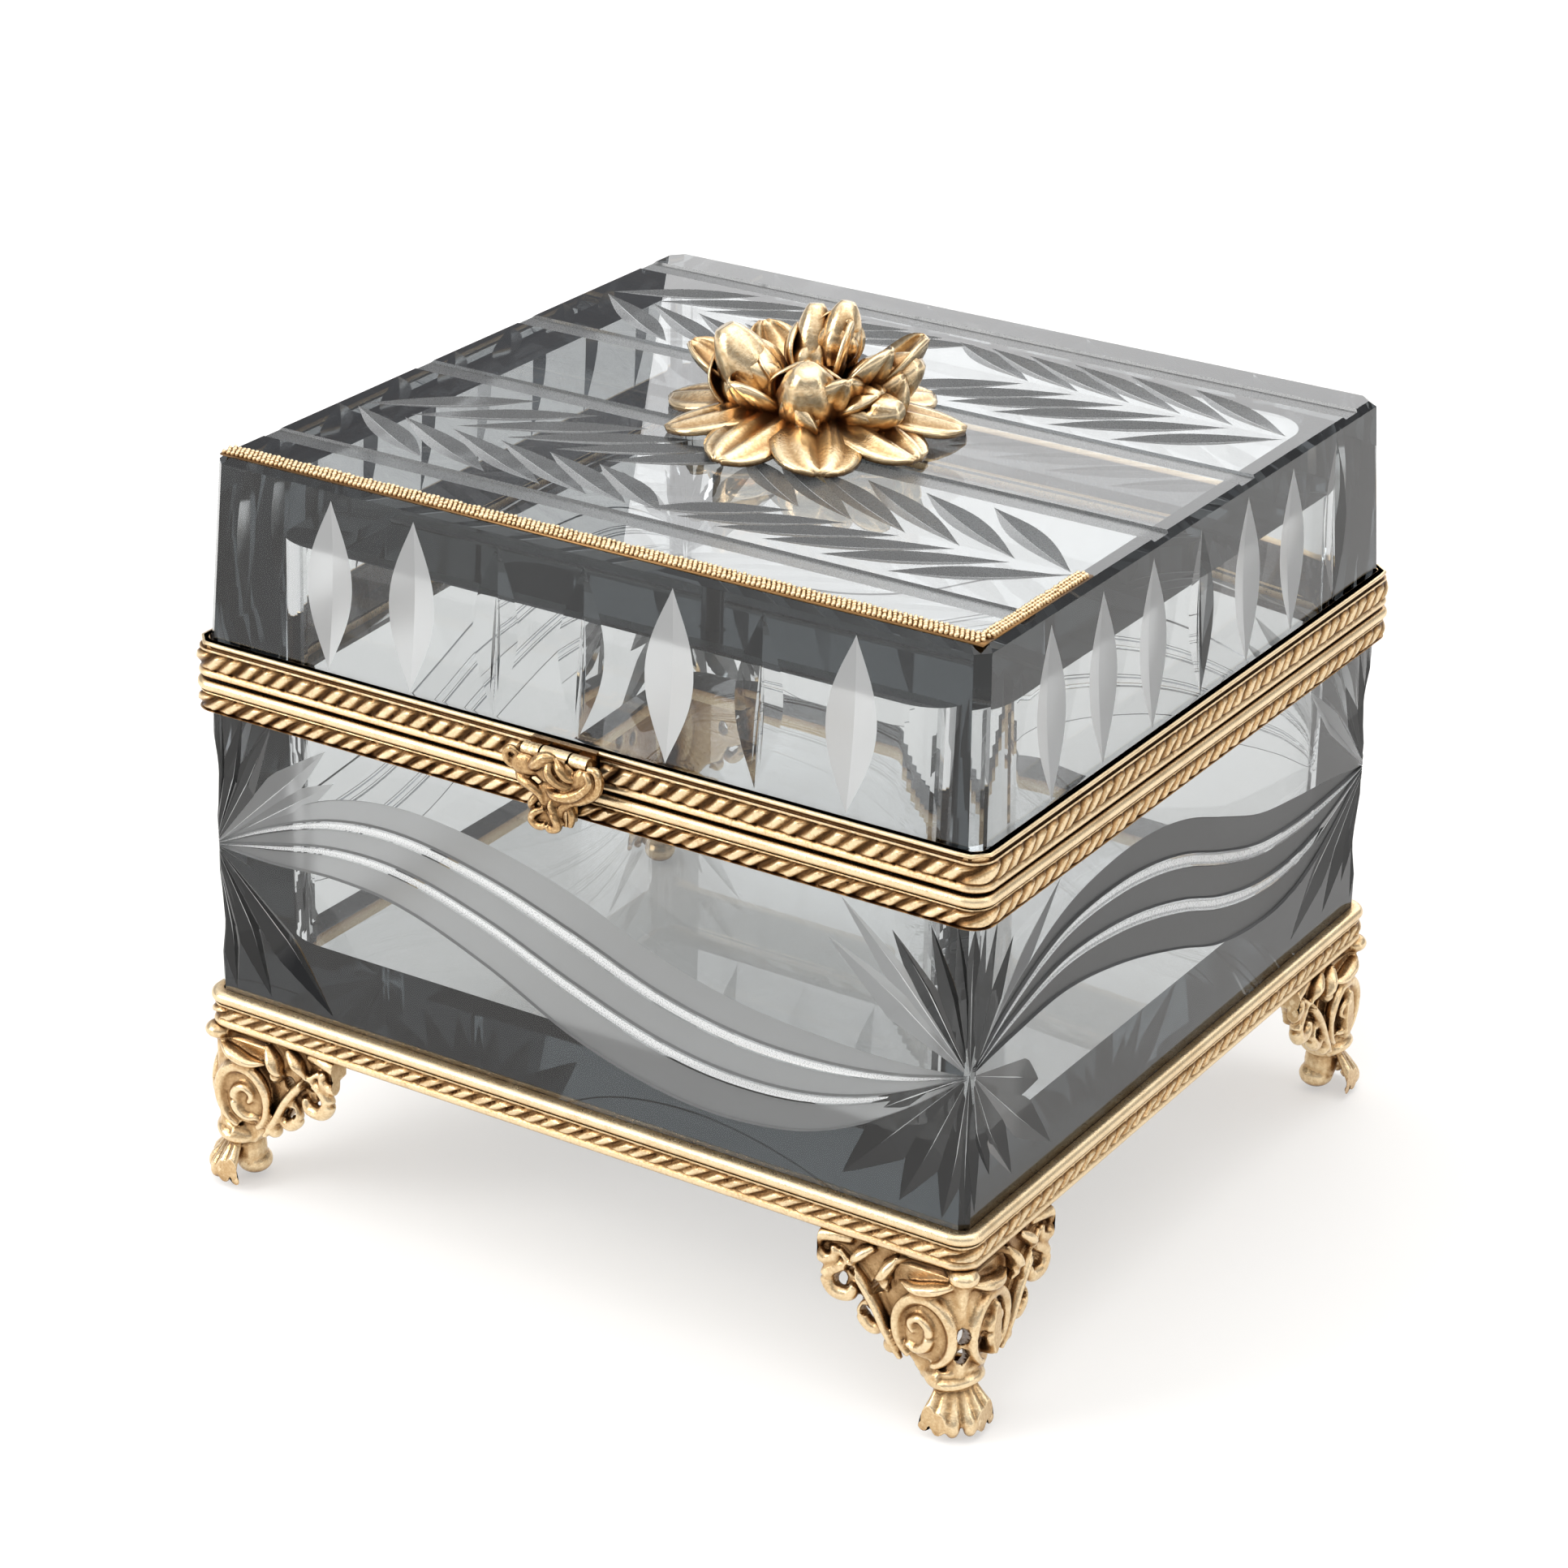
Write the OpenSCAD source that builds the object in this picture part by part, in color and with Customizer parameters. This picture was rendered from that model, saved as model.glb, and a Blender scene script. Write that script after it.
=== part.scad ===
// Gilt-mounted crystal inkwell casket.
// The origin is under the middle of the casket, at the height of the soles of its feet.
// +X is to the right, +Y to the back and +Z up. The clasp is on the front, at -Y.

/* [Crystal] */
// Width of the crystal, left to right
glass_w = 110; // [100:1:124]
// Depth of the crystal, front to back
glass_d = 104; // [96:1:118]
// Thickness of the crystal's walls
glass_wall = 7.5; // [6.5:0.5:9]
// Thickness of the crystal floor of the well
floor_t = 11; // [8:0.5:14]
// Height of the body crystal that shows between its bands
body_show = 39.1; // [34:0.1:46]
// Height of the lid crystal that shows above its band
lid_show = 23.5; // [20:0.5:28]
// Thickness of the top of the lid
lid_top_t = 10.5; // [9:0.5:12]
// Radius of the crystal's upright edges
corner_r = 1.5; // [1:0.1:3]

/* [Gilt mounts] */
// Height of the feet, floor to base frame
foot_h = 22.7; // [20:0.1:26]
// Height of the base band
base_band_h = 4.8; // [4.6:0.1:5.4]
// Height of the band round the rim of the body
body_band_h = 4.2; // [4:0.1:4.8]
// Height of the band round the rim of the lid
lid_band_h = 4.6; // [4.4:0.1:5.2]
// Thickness of the sheet that the bands are bent from
sheet = 0.8; // [0.6:0.1:0.9]
// How far the mouldings stand out from that sheet
relief = 0.8; // [0.6:0.1:1]
// Line of shadow between the closed lid and the body
parting = 0.4; // [0.3:0.1:0.6]

/* [Hinge and clasp] */
// How far each end of the hinge stops short of the crystal's corner
hinge_inset = 3; // [2.5:0.5:10]
// Outside radius of the hinge barrel
barrel_r = 1.75; // [1.6:0.05:1.9]
// Radius of the hinge pin
pin_r = 0.8; // [0.7:0.05:0.9]
// Outside radius of the clasp knuckles
clasp_knuckle_r = 0.95; // [0.9:0.01:1]
// Radius of the clasp pin
clasp_pin_r = 0.45; // [0.4:0.01:0.5]

/* [Finial] */
// Height of the tallest bud above the top of the lid
finial_h = 15.7; // [14:0.1:18]
// Length of the leaves, from the middle of the finial
leaf_len = 20; // [17:0.5:22]

/* [Hidden] */
$fn = 64;

gilt = [0.79, 0.63, 0.36];
dark_gilt = [0.6, 0.46, 0.25];
crystal = [0.78, 0.84, 0.88, 0.4];

running = 0.03;           // radial clearance of a pin in its knuckle
clear = 0.3;              // gap between pieces that pass each other
eps = 0.01;               // overshoot of a cut past the face it opens

// Heights, from the floor up
ledge_t = 1.8;
glass_z = foot_h + ledge_t;
base_band_top = foot_h + base_band_h;
body_band_z = base_band_top + body_show;
body_band_top = body_band_z + body_band_h;
lid_band_z = body_band_top + parting;
lid_band_top = lid_band_z + lid_band_h;
lid_top_z = lid_band_top + lid_show;
flange_t = 1;
body_glass_top = body_band_top - flange_t;
lid_glass_z = lid_band_z + flange_t;
well_floor_z = glass_z + floor_t;
ceiling_z = lid_top_z - lid_top_t;

// Bands
flange_in = 6;            // how far a flange reaches in over the edge of the crystal
proud = sheet + relief;   // how far a moulding stands out from the crystal
line = 0.1;               // dark line between two mouldings
base_bead_h = 1.6;
body_bead_h = 1.5;
fillet_h = 0.8;

// Lid crystal
taper_w = 1.1;            // lean of the sides, left and right
taper_d = 1.5;            // lean of the front and the back
edge_cut = 0.8;           // polished chamfer round the top
well_corner_r = 6;

// Hinge
hinge_len = glass_w - 2 * hinge_inset;
hinge_y = glass_d / 2 + proud + clear + barrel_r;
hinge_z = body_band_top + parting / 2;
knuckles = 5;
knuckle_pitch = hinge_len / knuckles;
leaf_pocket = hinge_len + 2 * clear;

// Clasp
clasp_w = 14;
clasp_y = -(glass_d / 2 + proud + clear + clasp_knuckle_r);
clasp_drop = 1.1;         // the clasp pin, below the top of the lid's band
clasp_z = lid_band_top - clasp_drop;
hasp_half_knuckle = 1.9;
bracket_half = 4.6;
bracket_pocket = 2 * (bracket_half + clear);
hasp_back_y = clasp_y - clasp_knuckle_r - clear;
hasp_front_y = -(hinge_y + barrel_r);
pad_back_y = -(glass_d / 2 + proud + clear);
hasp_hang = 0.9;          // how far the shell hangs below the body's band
hasp_z = body_band_z - hasp_hang;
hasp_inset = 0.4;         // how far the scrolls stop below the top of the lid's band
hasp_top = lid_band_top - hasp_inset;
scroll_r = 2.3;           // end scrolls of the hasp
shell_r = 2.1;            // lobes of the shell
shell_apart = 1.5;        // each lobe, from the middle
neck_w = 4;
neck_lap = 1;             // how far the neck stops below the top of the scrolls
pad_w = 4.4;
pad_rise = 1;             // foot of the pad, above the foot of the shell
pad_h = 3.8;
stud_r = 0.6;
stud_rise = 2.3;          // the catch stud, above the foot of the body's band
stud_z = body_band_z + stud_rise;
stud_reach = 0.8;         // how far the stud stands into the groove of the hasp

// Feet
foot_out = 1;             // how far the feet stand out past the crystal
foot_x = glass_w / 2 + foot_out;
foot_y = glass_d / 2 + foot_out;
wing_len = 20;
wing_t = 2.6;
wing_scroll_r = 2.6;      // scroll at the tip of a wing
wing_loop_r = 2.5;        // loop below that scroll
wing_bead_r = 1.6;        // bead at the waist of the foot
wing_elbow = 12;          // where the lower edge turns down to the waist
wing_waist = 8;           // width of the foot at its collar
upper_hole_r = 1.4;
lower_hole_r = 1;
post_inset = 4;
post_r = 4;
collar_z = 6.4;
collar_h = 1.6;
collar_r = 4.6;
toe_r = 5.5;
ankle_r = 3.6;            // top of the toe, under the collar
screw_r = 0.95;
screw_head_r = 1.9;
screw_head_h = 0.9;
screw_len = 7;

// Finial
leaf_t = 0.9;
leaf_w = 7;
leaf_count = 9;
rosette_r = 4.5;          // disc that the leaves grow from
core_r = 4;               // stub that the buds grow from
core_h = 3;
bud_tip_r = 0.5;
bud_waist = 0.45;         // the widest part of a bud, as a share of its length
bud_foot = 0.55;          // the foot of a bud, as a share of its width
middle_lean = 18;         // the tallest bud, from upright
finial_stud_r = 1.5;
stud_end = 0.5;           // how far the stud shows below its nut
socket = 2.5;             // depth of the stud's hole in the buds
socket_slack = 0.5;       // room left above the stud in that hole
washer_t = 1;
washer_r = 4;
nut_t = 3;
nut_r = 3;
finial_z = lid_top_z + leaf_t;

braid_w = 2.5;
braid_t = 0.9;
braid_side_w = 1.8;
braid_return = 25;

// The plan of the crystal, grown outwards by a margin
module plan(grow) {
    half_w = glass_w / 2 + grow;
    half_d = glass_d / 2 + grow;
    r = corner_r + grow;
    square([2 * half_w, 2 * (half_d - r)], center = true);
    square([2 * (half_w - r), 2 * half_d], center = true);
    for (sx = [-1, 1], sy = [-1, 1])
        translate([sx * (half_w - r), sy * (half_d - r)]) circle(r);
}

// The plan of the well inside the crystal
module well_plan() {
    half_w = glass_w / 2 - glass_wall;
    half_d = glass_d / 2 - glass_wall;
    r = well_corner_r;
    square([2 * half_w, 2 * (half_d - r)], center = true);
    square([2 * (half_w - r), 2 * half_d], center = true);
    for (sx = [-1, 1], sy = [-1, 1])
        translate([sx * (half_w - r), sy * (half_d - r)]) circle(r);
}

// Carries a section, drawn outward from the crystal's face and up, once round the crystal
module moulding() {
    run_w = glass_w - 2 * corner_r;
    run_d = glass_d - 2 * corner_r;
    for (turn = [0, 180]) {
        rotate([0, 0, turn]) translate([glass_w / 2, run_d / 2, 0])
            rotate([90, 0, 0]) linear_extrude(run_d) children();
        rotate([0, 0, turn + 90]) translate([glass_d / 2, run_w / 2, 0])
            rotate([90, 0, 0]) linear_extrude(run_w) children();
    }
    for (corner = [[1, 1, 0], [-1, 1, 90], [-1, -1, 180], [1, -1, 270]])
        translate([corner[0] * run_w / 2, corner[1] * run_d / 2, 0]) rotate([0, 0, corner[2]])
            rotate_extrude(angle = 90) translate([corner_r, 0]) children();
}

// A rounded section that stands out from the sheet between two heights
module round_section(z_low, z_high, reach) {
    h = z_high - z_low;
    r = (h * h / 4 + reach * reach) / (2 * reach);
    intersection() {
        translate([sheet + reach - r, z_low + h / 2]) circle(r);
        translate([sheet, z_low]) square([reach + eps, h]);
    }
}

// An upright band of sheet round the crystal
module band(z_low, z_high) {
    translate([0, 0, z_low]) linear_extrude(z_high - z_low) difference() {
        plan(sheet);
        plan(0);
    }
}

// A flat flange that reaches in from the band over the edge of the crystal
module flange(z_low, t) {
    translate([0, 0, z_low]) linear_extrude(t) difference() {
        plan(sheet);
        square([glass_w - 2 * flange_in, glass_d - 2 * flange_in], center = true);
    }
}

// The space that a hinge leaf takes out of a moulding at the back
module hinge_pocket(z_low, z_high) {
    translate([-leaf_pocket / 2, glass_d / 2 + sheet, z_low - eps])
        cube([leaf_pocket, proud, z_high - z_low + 2 * eps]);
}

module screw_places() {
    for (sx = [-1, 1], sy = [-1, 1])
        translate([sx * (foot_x - post_inset), sy * (foot_y - post_inset), 0]) children();
}

// Body crystal, with the well sunk into it
module body_glass() color(crystal) difference() {
    translate([0, 0, glass_z]) linear_extrude(body_glass_top - glass_z) plan(0);
    translate([0, 0, well_floor_z]) linear_extrude(body_glass_top - well_floor_z + eps) well_plan();
}

// Side outline of the lid, upright inside its band and leaning in above it
module lid_profile(half, lean) {
    polygon([
        [-half, lid_glass_z], [half, lid_glass_z], [half, lid_band_top],
        [half - lean, lid_top_z - edge_cut], [half - lean - edge_cut, lid_top_z],
        [-half + lean + edge_cut, lid_top_z], [-half + lean, lid_top_z - edge_cut],
        [-half, lid_band_top]
    ]);
}

// Lid crystal, hollowed from below and drilled for the finial
module lid_glass() color(crystal) difference() {
    intersection() {
        linear_extrude(lid_top_z) plan(0);
        translate([0, glass_d, 0]) rotate([90, 0, 0])
            linear_extrude(2 * glass_d) lid_profile(glass_w / 2, taper_w);
        rotate([0, 0, 90]) translate([0, glass_w, 0]) rotate([90, 0, 0])
            linear_extrude(2 * glass_w) lid_profile(glass_d / 2, taper_d);
    }
    translate([0, 0, lid_glass_z - eps]) linear_extrude(ceiling_z - lid_glass_z + eps) well_plan();
    translate([0, 0, ceiling_z - eps]) cylinder(h = lid_top_t + 2 * eps, r = finial_stud_r + running);
}

// Base frame, with the ledge that the crystal stands on
module base_frame() color(gilt) difference() {
    union() {
        band(foot_h, base_band_top);
        flange(foot_h, ledge_t);
    }
    screw_places() {
        translate([0, 0, foot_h - eps]) cylinder(h = ledge_t + 2 * eps, r = screw_r + running);
        translate([0, 0, glass_z - screw_head_h])
            cylinder(h = screw_head_h + eps, r = screw_head_r + running);
    }
}

module base_bead() color(gilt)
    moulding() round_section(base_band_top - base_bead_h, base_band_top, relief);

module base_gadroon() color(dark_gilt)
    moulding() round_section(foot_h, base_band_top - base_bead_h - line, relief);

module body_rim_channel() color(gilt) {
    band(body_band_z, body_band_top - flange_t);
    flange(body_band_top - flange_t, flange_t);
}

module body_rim_bead() color(gilt) difference() {
    moulding() round_section(body_band_top - body_bead_h, body_band_top, relief);
    hinge_pocket(body_band_z, body_band_top);
}

module body_rim_gadroon() color(dark_gilt) difference() {
    moulding() round_section(body_band_z, body_band_top - body_bead_h - line, relief);
    hinge_pocket(body_band_z, body_band_top);
}

// Small pin on the front of the body that the clasp closes over
module catch_stud() color(gilt)
    translate([0, -(glass_d / 2 + proud), stud_z]) rotate([90, 0, 0])
        cylinder(h = clear + stud_reach, r = stud_r);

module lid_rim_channel() color(gilt) {
    flange(lid_band_z, flange_t);
    band(lid_glass_z, lid_band_top);
}

module lid_rim_fillet() color(gilt) difference() {
    moulding() round_section(lid_band_top - fillet_h, lid_band_top, relief / 2);
    hinge_pocket(lid_band_z, lid_band_top);
    clasp_pocket();
}

module lid_rim_gadroon() color(dark_gilt) difference() {
    moulding() round_section(lid_band_z, lid_band_top - fillet_h - line, relief);
    hinge_pocket(lid_band_z, lid_band_top);
    clasp_pocket();
}

// Gold braid cemented along the front edge of the lid's top, with a short return at the right
module lid_braid() color(gilt) translate([0, 0, lid_top_z]) {
    half_w = glass_w / 2 - taper_w - edge_cut;
    half_d = glass_d / 2 - taper_d - edge_cut;
    translate([-half_w, -half_d, 0]) cube([2 * half_w, braid_w, braid_t]);
    translate([half_w - braid_side_w, -half_d, 0]) cube([braid_side_w, braid_return, braid_t]);
}

// Moves to the near end of one knuckle of the hinge
module knuckle_place(index)
    translate([-hinge_len / 2 + index * knuckle_pitch + clear / 2, 0, 0]) children();

// A leaf of the hinge: a plate on the band and webs out to its own knuckles
module hinge_leaf(z_low, z_high, mine, web_z) {
    difference() {
        union() {
            translate([-hinge_len / 2, glass_d / 2 + sheet, z_low])
                cube([hinge_len, relief, z_high - z_low]);
            for (index = mine) knuckle_place(index) {
                translate([0, hinge_y, hinge_z]) rotate([0, 90, 0])
                    cylinder(h = knuckle_pitch - clear, r = barrel_r);
                translate([0, glass_d / 2 + sheet, web_z])
                    cube([knuckle_pitch - clear, hinge_y - glass_d / 2 - sheet, barrel_r - clear]);
            }
        }
        translate([-hinge_len, hinge_y, hinge_z]) rotate([0, 90, 0])
            cylinder(h = 2 * hinge_len, r = pin_r + running);
    }
}

module hinge_leaf_body() color(gilt)
    hinge_leaf(body_band_z, body_band_top, [0, 2, 4], hinge_z - barrel_r);

module hinge_leaf_lid() color(gilt)
    hinge_leaf(lid_band_z, lid_band_top, [1, 3], hinge_z + clear);

module hinge_pin() color(dark_gilt)
    translate([-hinge_len / 2, hinge_y, hinge_z]) rotate([0, 90, 0])
        cylinder(h = hinge_len, r = pin_r);

// The space that the clasp bracket takes out of the lid's mouldings
module clasp_pocket() {
    translate([-bracket_pocket / 2, -(glass_d / 2 + sheet + proud), lid_band_z - eps])
        cube([bracket_pocket, proud, lid_band_h + 2 * eps]);
}

// Bore for the clasp pin
module clasp_bore() {
    translate([-clasp_w, clasp_y, clasp_z]) rotate([0, 90, 0])
        cylinder(h = 2 * clasp_w, r = clasp_pin_r + running);
}

// Plate on the lid's band, with a knuckle at each end for the clasp pin
module clasp_bracket() color(gilt) difference() {
    union() {
        translate([-bracket_half, -(glass_d / 2 + proud), lid_band_z])
            cube([2 * bracket_half, relief, lid_band_h]);
        for (side = [-1, 1]) {
            inner = hasp_half_knuckle + clear;
            span = bracket_half - inner;
            translate([side > 0 ? inner : -bracket_half, 0, 0]) {
                translate([0, clasp_y, clasp_z]) rotate([0, 90, 0])
                    cylinder(h = span, r = clasp_knuckle_r);
                translate([0, clasp_y, clasp_z - clasp_knuckle_r / 2])
                    cube([span, -clasp_y - glass_d / 2 - proud, clasp_knuckle_r]);
            }
        }
    }
    clasp_bore();
}

module clasp_pin() color(dark_gilt)
    translate([-bracket_half, clasp_y, clasp_z]) rotate([0, 90, 0])
        cylinder(h = 2 * bracket_half, r = clasp_pin_r);

// Front outline of the clasp: two scrolls above, a neck, and a two-lobed shell to lift it by
module hasp_outline() {
    for (side = [-1, 1]) {
        translate([side * (clasp_w / 2 - scroll_r), hasp_top - scroll_r]) circle(scroll_r);
        translate([side * shell_apart, hasp_z + shell_r]) circle(shell_r);
    }
    translate([-clasp_w / 2 + scroll_r, hasp_top - 2 * scroll_r])
        square([clasp_w - 2 * scroll_r, scroll_r * 2]);
    translate([-neck_w / 2, hasp_z + shell_r])
        square([neck_w, hasp_top - hasp_z - shell_r - neck_lap]);
}

// Clasp: the ornament, its knuckle, and a pad behind with a groove for the catch stud
module clasp_hasp() color(gilt) difference() {
    union() {
        translate([0, hasp_back_y, 0]) rotate([90, 0, 0])
            linear_extrude(hasp_back_y - hasp_front_y) hasp_outline();
        translate([-hasp_half_knuckle, clasp_y, clasp_z]) rotate([0, 90, 0])
            cylinder(h = 2 * hasp_half_knuckle, r = clasp_knuckle_r);
        translate([-hasp_half_knuckle, hasp_back_y, clasp_z - clasp_knuckle_r / 2])
            cube([2 * hasp_half_knuckle, clasp_y - hasp_back_y, clasp_knuckle_r]);
        translate([-pad_w / 2, hasp_back_y, hasp_z + pad_rise])
            cube([pad_w, pad_back_y - hasp_back_y, pad_h]);
    }
    clasp_bore();
    translate([-stud_r - clear, pad_back_y - stud_reach - clear, hasp_z])
        cube([2 * (stud_r + clear), stud_reach + 2 * clear, stud_z - hasp_z + stud_r + clear]);
}

// Outline of one wing of a foot, from the corner inward and down
module wing_outline() {
    tip_x = wing_len - wing_scroll_r;
    tip_z = foot_h - wing_scroll_r;
    loop_x = tip_x - wing_scroll_r - upper_hole_r / 2;
    loop_z = tip_z - wing_scroll_r - wing_loop_r + clear;
    waist_z = collar_z + collar_h;
    elbow_z = foot_h - 2 * wing_scroll_r - wing_loop_r - 2 * clear;
    difference() {
        union() {
            polygon([[0, foot_h], [tip_x, foot_h], [tip_x, loop_z + wing_loop_r],
                     [wing_elbow, elbow_z], [wing_waist, waist_z], [0, waist_z]]);
            translate([tip_x, tip_z]) circle(wing_scroll_r);
            translate([loop_x, loop_z]) circle(wing_loop_r);
            translate([wing_waist + wing_bead_r, waist_z + 2 * wing_bead_r]) circle(wing_bead_r);
        }
        translate([wing_elbow, tip_z - wing_scroll_r / 2]) circle(upper_hole_r);
        translate([wing_waist + lower_hole_r, elbow_z]) circle(lower_hole_r);
    }
}

// Foot for the back right corner: two pierced wings, a post, a collar and a spreading toe
module foot() color(gilt) difference() {
    union() {
        translate([foot_x, foot_y - wing_t, 0]) rotate([0, 0, 180]) rotate([90, 0, 0])
            linear_extrude(wing_t) wing_outline();
        translate([foot_x - wing_t, foot_y, 0]) rotate([0, 0, -90]) rotate([90, 0, 0])
            mirror([0, 0, 1]) linear_extrude(wing_t) wing_outline();
        translate([foot_x - post_inset, foot_y - post_inset, 0]) {
            translate([0, 0, collar_z]) cylinder(h = foot_h - collar_z, r = post_r);
            translate([0, 0, collar_z]) cylinder(h = collar_h, r = collar_r);
            cylinder(h = collar_z, r1 = toe_r, r2 = ankle_r);
        }
    }
    translate([foot_x - post_inset, foot_y - post_inset, glass_z - screw_len - clear])
        cylinder(h = screw_len, r = screw_r + running);
}

// Countersunk screws that hold the feet, flush under the crystal
module foot_screws() color(dark_gilt) screw_places() {
    translate([0, 0, glass_z - screw_len]) cylinder(h = screw_len - eps, r = screw_r);
    translate([0, 0, glass_z - screw_head_h]) cylinder(h = screw_head_h, r = screw_head_r);
}

// Pointed leaf, lying along +X
module leaf() {
    r = (leaf_len * leaf_len / 4 + leaf_w * leaf_w / 4) / leaf_w;
    translate([leaf_len / 2, 0]) intersection() {
        translate([0, r - leaf_w / 2]) circle(r);
        translate([0, leaf_w / 2 - r]) circle(r);
    }
}

module finial_leaves() color(gilt) difference() {
    translate([0, 0, lid_top_z]) linear_extrude(leaf_t) {
        circle(rosette_r);
        for (index = [0:leaf_count - 1]) rotate(index * 360 / leaf_count - 15) leaf();
    }
    translate([0, 0, lid_top_z - eps]) cylinder(h = leaf_t + 2 * eps, r = finial_stud_r + running);
}

// One closed bud on its stem, leaning out from the middle
module bud(heading, lean, reach, r) {
    rotate([0, lean, heading]) {
        cylinder(h = reach * bud_waist, r1 = r * bud_foot, r2 = r);
        translate([0, 0, reach * bud_waist])
            cylinder(h = reach * (1 - bud_waist), r1 = r, r2 = bud_tip_r);
    }
}

module finial_buds() color(gilt) translate([0, 0, finial_z]) difference() {
    intersection() {
        union() {
            cylinder(h = core_h, r = core_r);
            bud(175, 48, 18, 4.2);
            bud(110, middle_lean, (finial_h - leaf_t) / cos(middle_lean), 4);
            bud(25, 42, 17, 4);
            bud(-35, 52, 15, 3.4);
            bud(-95, 36, 13, 4.4);
        }
        translate([-leaf_len, -leaf_len, 0]) cube([2 * leaf_len, 2 * leaf_len, finial_h - leaf_t]);
    }
    translate([0, 0, -eps]) cylinder(h = socket + eps, r = finial_stud_r + running);
}

// Stud from the finial down through the lid
module finial_stud() color(dark_gilt)
    translate([0, 0, ceiling_z - washer_t - nut_t - stud_end])
        cylinder(h = stud_end + nut_t + washer_t + lid_top_t + leaf_t + socket - socket_slack,
                 r = finial_stud_r);

module finial_washer() color(gilt) translate([0, 0, ceiling_z - washer_t]) difference() {
    cylinder(h = washer_t, r = washer_r);
    translate([0, 0, -eps]) cylinder(h = washer_t + 2 * eps, r = finial_stud_r + running);
}

module finial_nut() color(gilt) translate([0, 0, ceiling_z - washer_t - nut_t]) difference() {
    cylinder(h = nut_t, r = nut_r, $fn = 6);
    translate([0, 0, -eps]) cylinder(h = nut_t + 2 * eps, r = finial_stud_r + running);
}

body_glass();
base_frame();
base_bead();
base_gadroon();
mirror([1, 0, 0]) mirror([0, 1, 0]) foot();  // foot_front_left
mirror([0, 1, 0]) foot();  // foot_front_right
mirror([1, 0, 0]) foot();  // foot_back_left
foot();  // foot_back_right
foot_screws();
body_rim_channel();
body_rim_bead();
body_rim_gadroon();
catch_stud();
hinge_leaf_body();
hinge_pin();
hinge_leaf_lid();
lid_glass();
lid_rim_channel();
lid_rim_fillet();
lid_rim_gadroon();
lid_braid();
clasp_bracket();
clasp_pin();
clasp_hasp();
finial_leaves();
finial_buds();
finial_stud();
finial_washer();
finial_nut();
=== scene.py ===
"""Looks of a gilt-mounted cut-crystal inkwell casket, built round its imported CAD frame."""
import math
import random

import bpy
import numpy as np
from mathutils import Matrix, Vector


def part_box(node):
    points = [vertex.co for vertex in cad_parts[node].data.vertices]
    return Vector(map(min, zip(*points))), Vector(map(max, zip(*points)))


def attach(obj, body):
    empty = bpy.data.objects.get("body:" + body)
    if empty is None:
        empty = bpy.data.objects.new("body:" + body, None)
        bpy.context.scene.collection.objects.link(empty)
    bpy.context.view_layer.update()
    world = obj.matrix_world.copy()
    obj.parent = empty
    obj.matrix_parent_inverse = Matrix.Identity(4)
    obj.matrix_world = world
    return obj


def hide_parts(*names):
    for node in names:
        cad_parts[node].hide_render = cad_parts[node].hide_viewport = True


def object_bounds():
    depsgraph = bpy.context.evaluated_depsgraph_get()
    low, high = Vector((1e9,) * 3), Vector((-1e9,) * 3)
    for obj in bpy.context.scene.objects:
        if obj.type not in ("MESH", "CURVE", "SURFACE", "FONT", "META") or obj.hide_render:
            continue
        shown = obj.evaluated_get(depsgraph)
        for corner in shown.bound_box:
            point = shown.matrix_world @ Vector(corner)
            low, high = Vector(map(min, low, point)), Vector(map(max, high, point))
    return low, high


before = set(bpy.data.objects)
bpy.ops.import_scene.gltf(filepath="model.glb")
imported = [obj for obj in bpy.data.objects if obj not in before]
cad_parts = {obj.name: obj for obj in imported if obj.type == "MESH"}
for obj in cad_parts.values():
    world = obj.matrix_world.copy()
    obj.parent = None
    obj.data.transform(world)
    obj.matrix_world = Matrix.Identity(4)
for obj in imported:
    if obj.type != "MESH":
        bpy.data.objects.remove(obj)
cad_lo, cad_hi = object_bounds()
random.seed(7)

MM = 0.001

# Places read from the frame, in metres
body_lo, body_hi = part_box("body_glass")
lid_lo, lid_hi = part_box("lid_glass")
base_lo, base_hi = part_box("base_frame")
rim_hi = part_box("body_rim_channel")[1]
lid_rim_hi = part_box("lid_rim_channel")[1]
half_w = body_hi.x
half_d = body_hi.y
SHEET = rim_hi.x - half_w
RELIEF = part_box("base_gadroon")[1].x - base_hi.x
CORNER_R = 1.5 * MM
WALL = 7.5 * MM
FLOOR_Z = body_lo.z + 11 * MM
CEILING_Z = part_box("finial_washer")[1].z
SHOW_LO = base_hi.z              # foot of the crystal that shows, at the base band
STAR_Z = SHOW_LO + 20.3 * MM
GLASS_GAP = 0.05 * MM            # air between the crystal and its mounts

# What a cutter leaves on the crystal it cuts: clear, frosted, polished facet, a polished line whitened as
# painted highlight, and satin, then the fainter cuts of the far sides, the sheer ones of the lid's top, the
# ribbons of the right side tinted near black as painted shade, and the star rays tinted near black as
# painted shade, with whitened lines down their valleys as painted highlight
CLEAR, FROST, FACET, LINE, PALE, THIN, SHEER, SHADED_RIGHT, RAY, GLINT = range(10)


# ---------------------------------------------------------------- meshes

def add_object(name, verts, faces, material_index=None, smooth=False):
    mesh = bpy.data.meshes.new(name)
    mesh.from_pydata([tuple(v) for v in verts], [], [tuple(f) for f in faces])
    mesh.validate()
    piece = bpy.data.objects.new(name, mesh)
    bpy.context.scene.collection.objects.link(piece)
    if material_index is not None:
        mesh.polygons.foreach_set("material_index", np.full(len(mesh.polygons), material_index, np.int32))
    if smooth:
        mesh.shade_smooth()
    return piece


def drop(piece):
    mesh = piece.data
    bpy.data.objects.remove(piece)
    if mesh.users == 0:
        bpy.data.meshes.remove(mesh)


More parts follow.
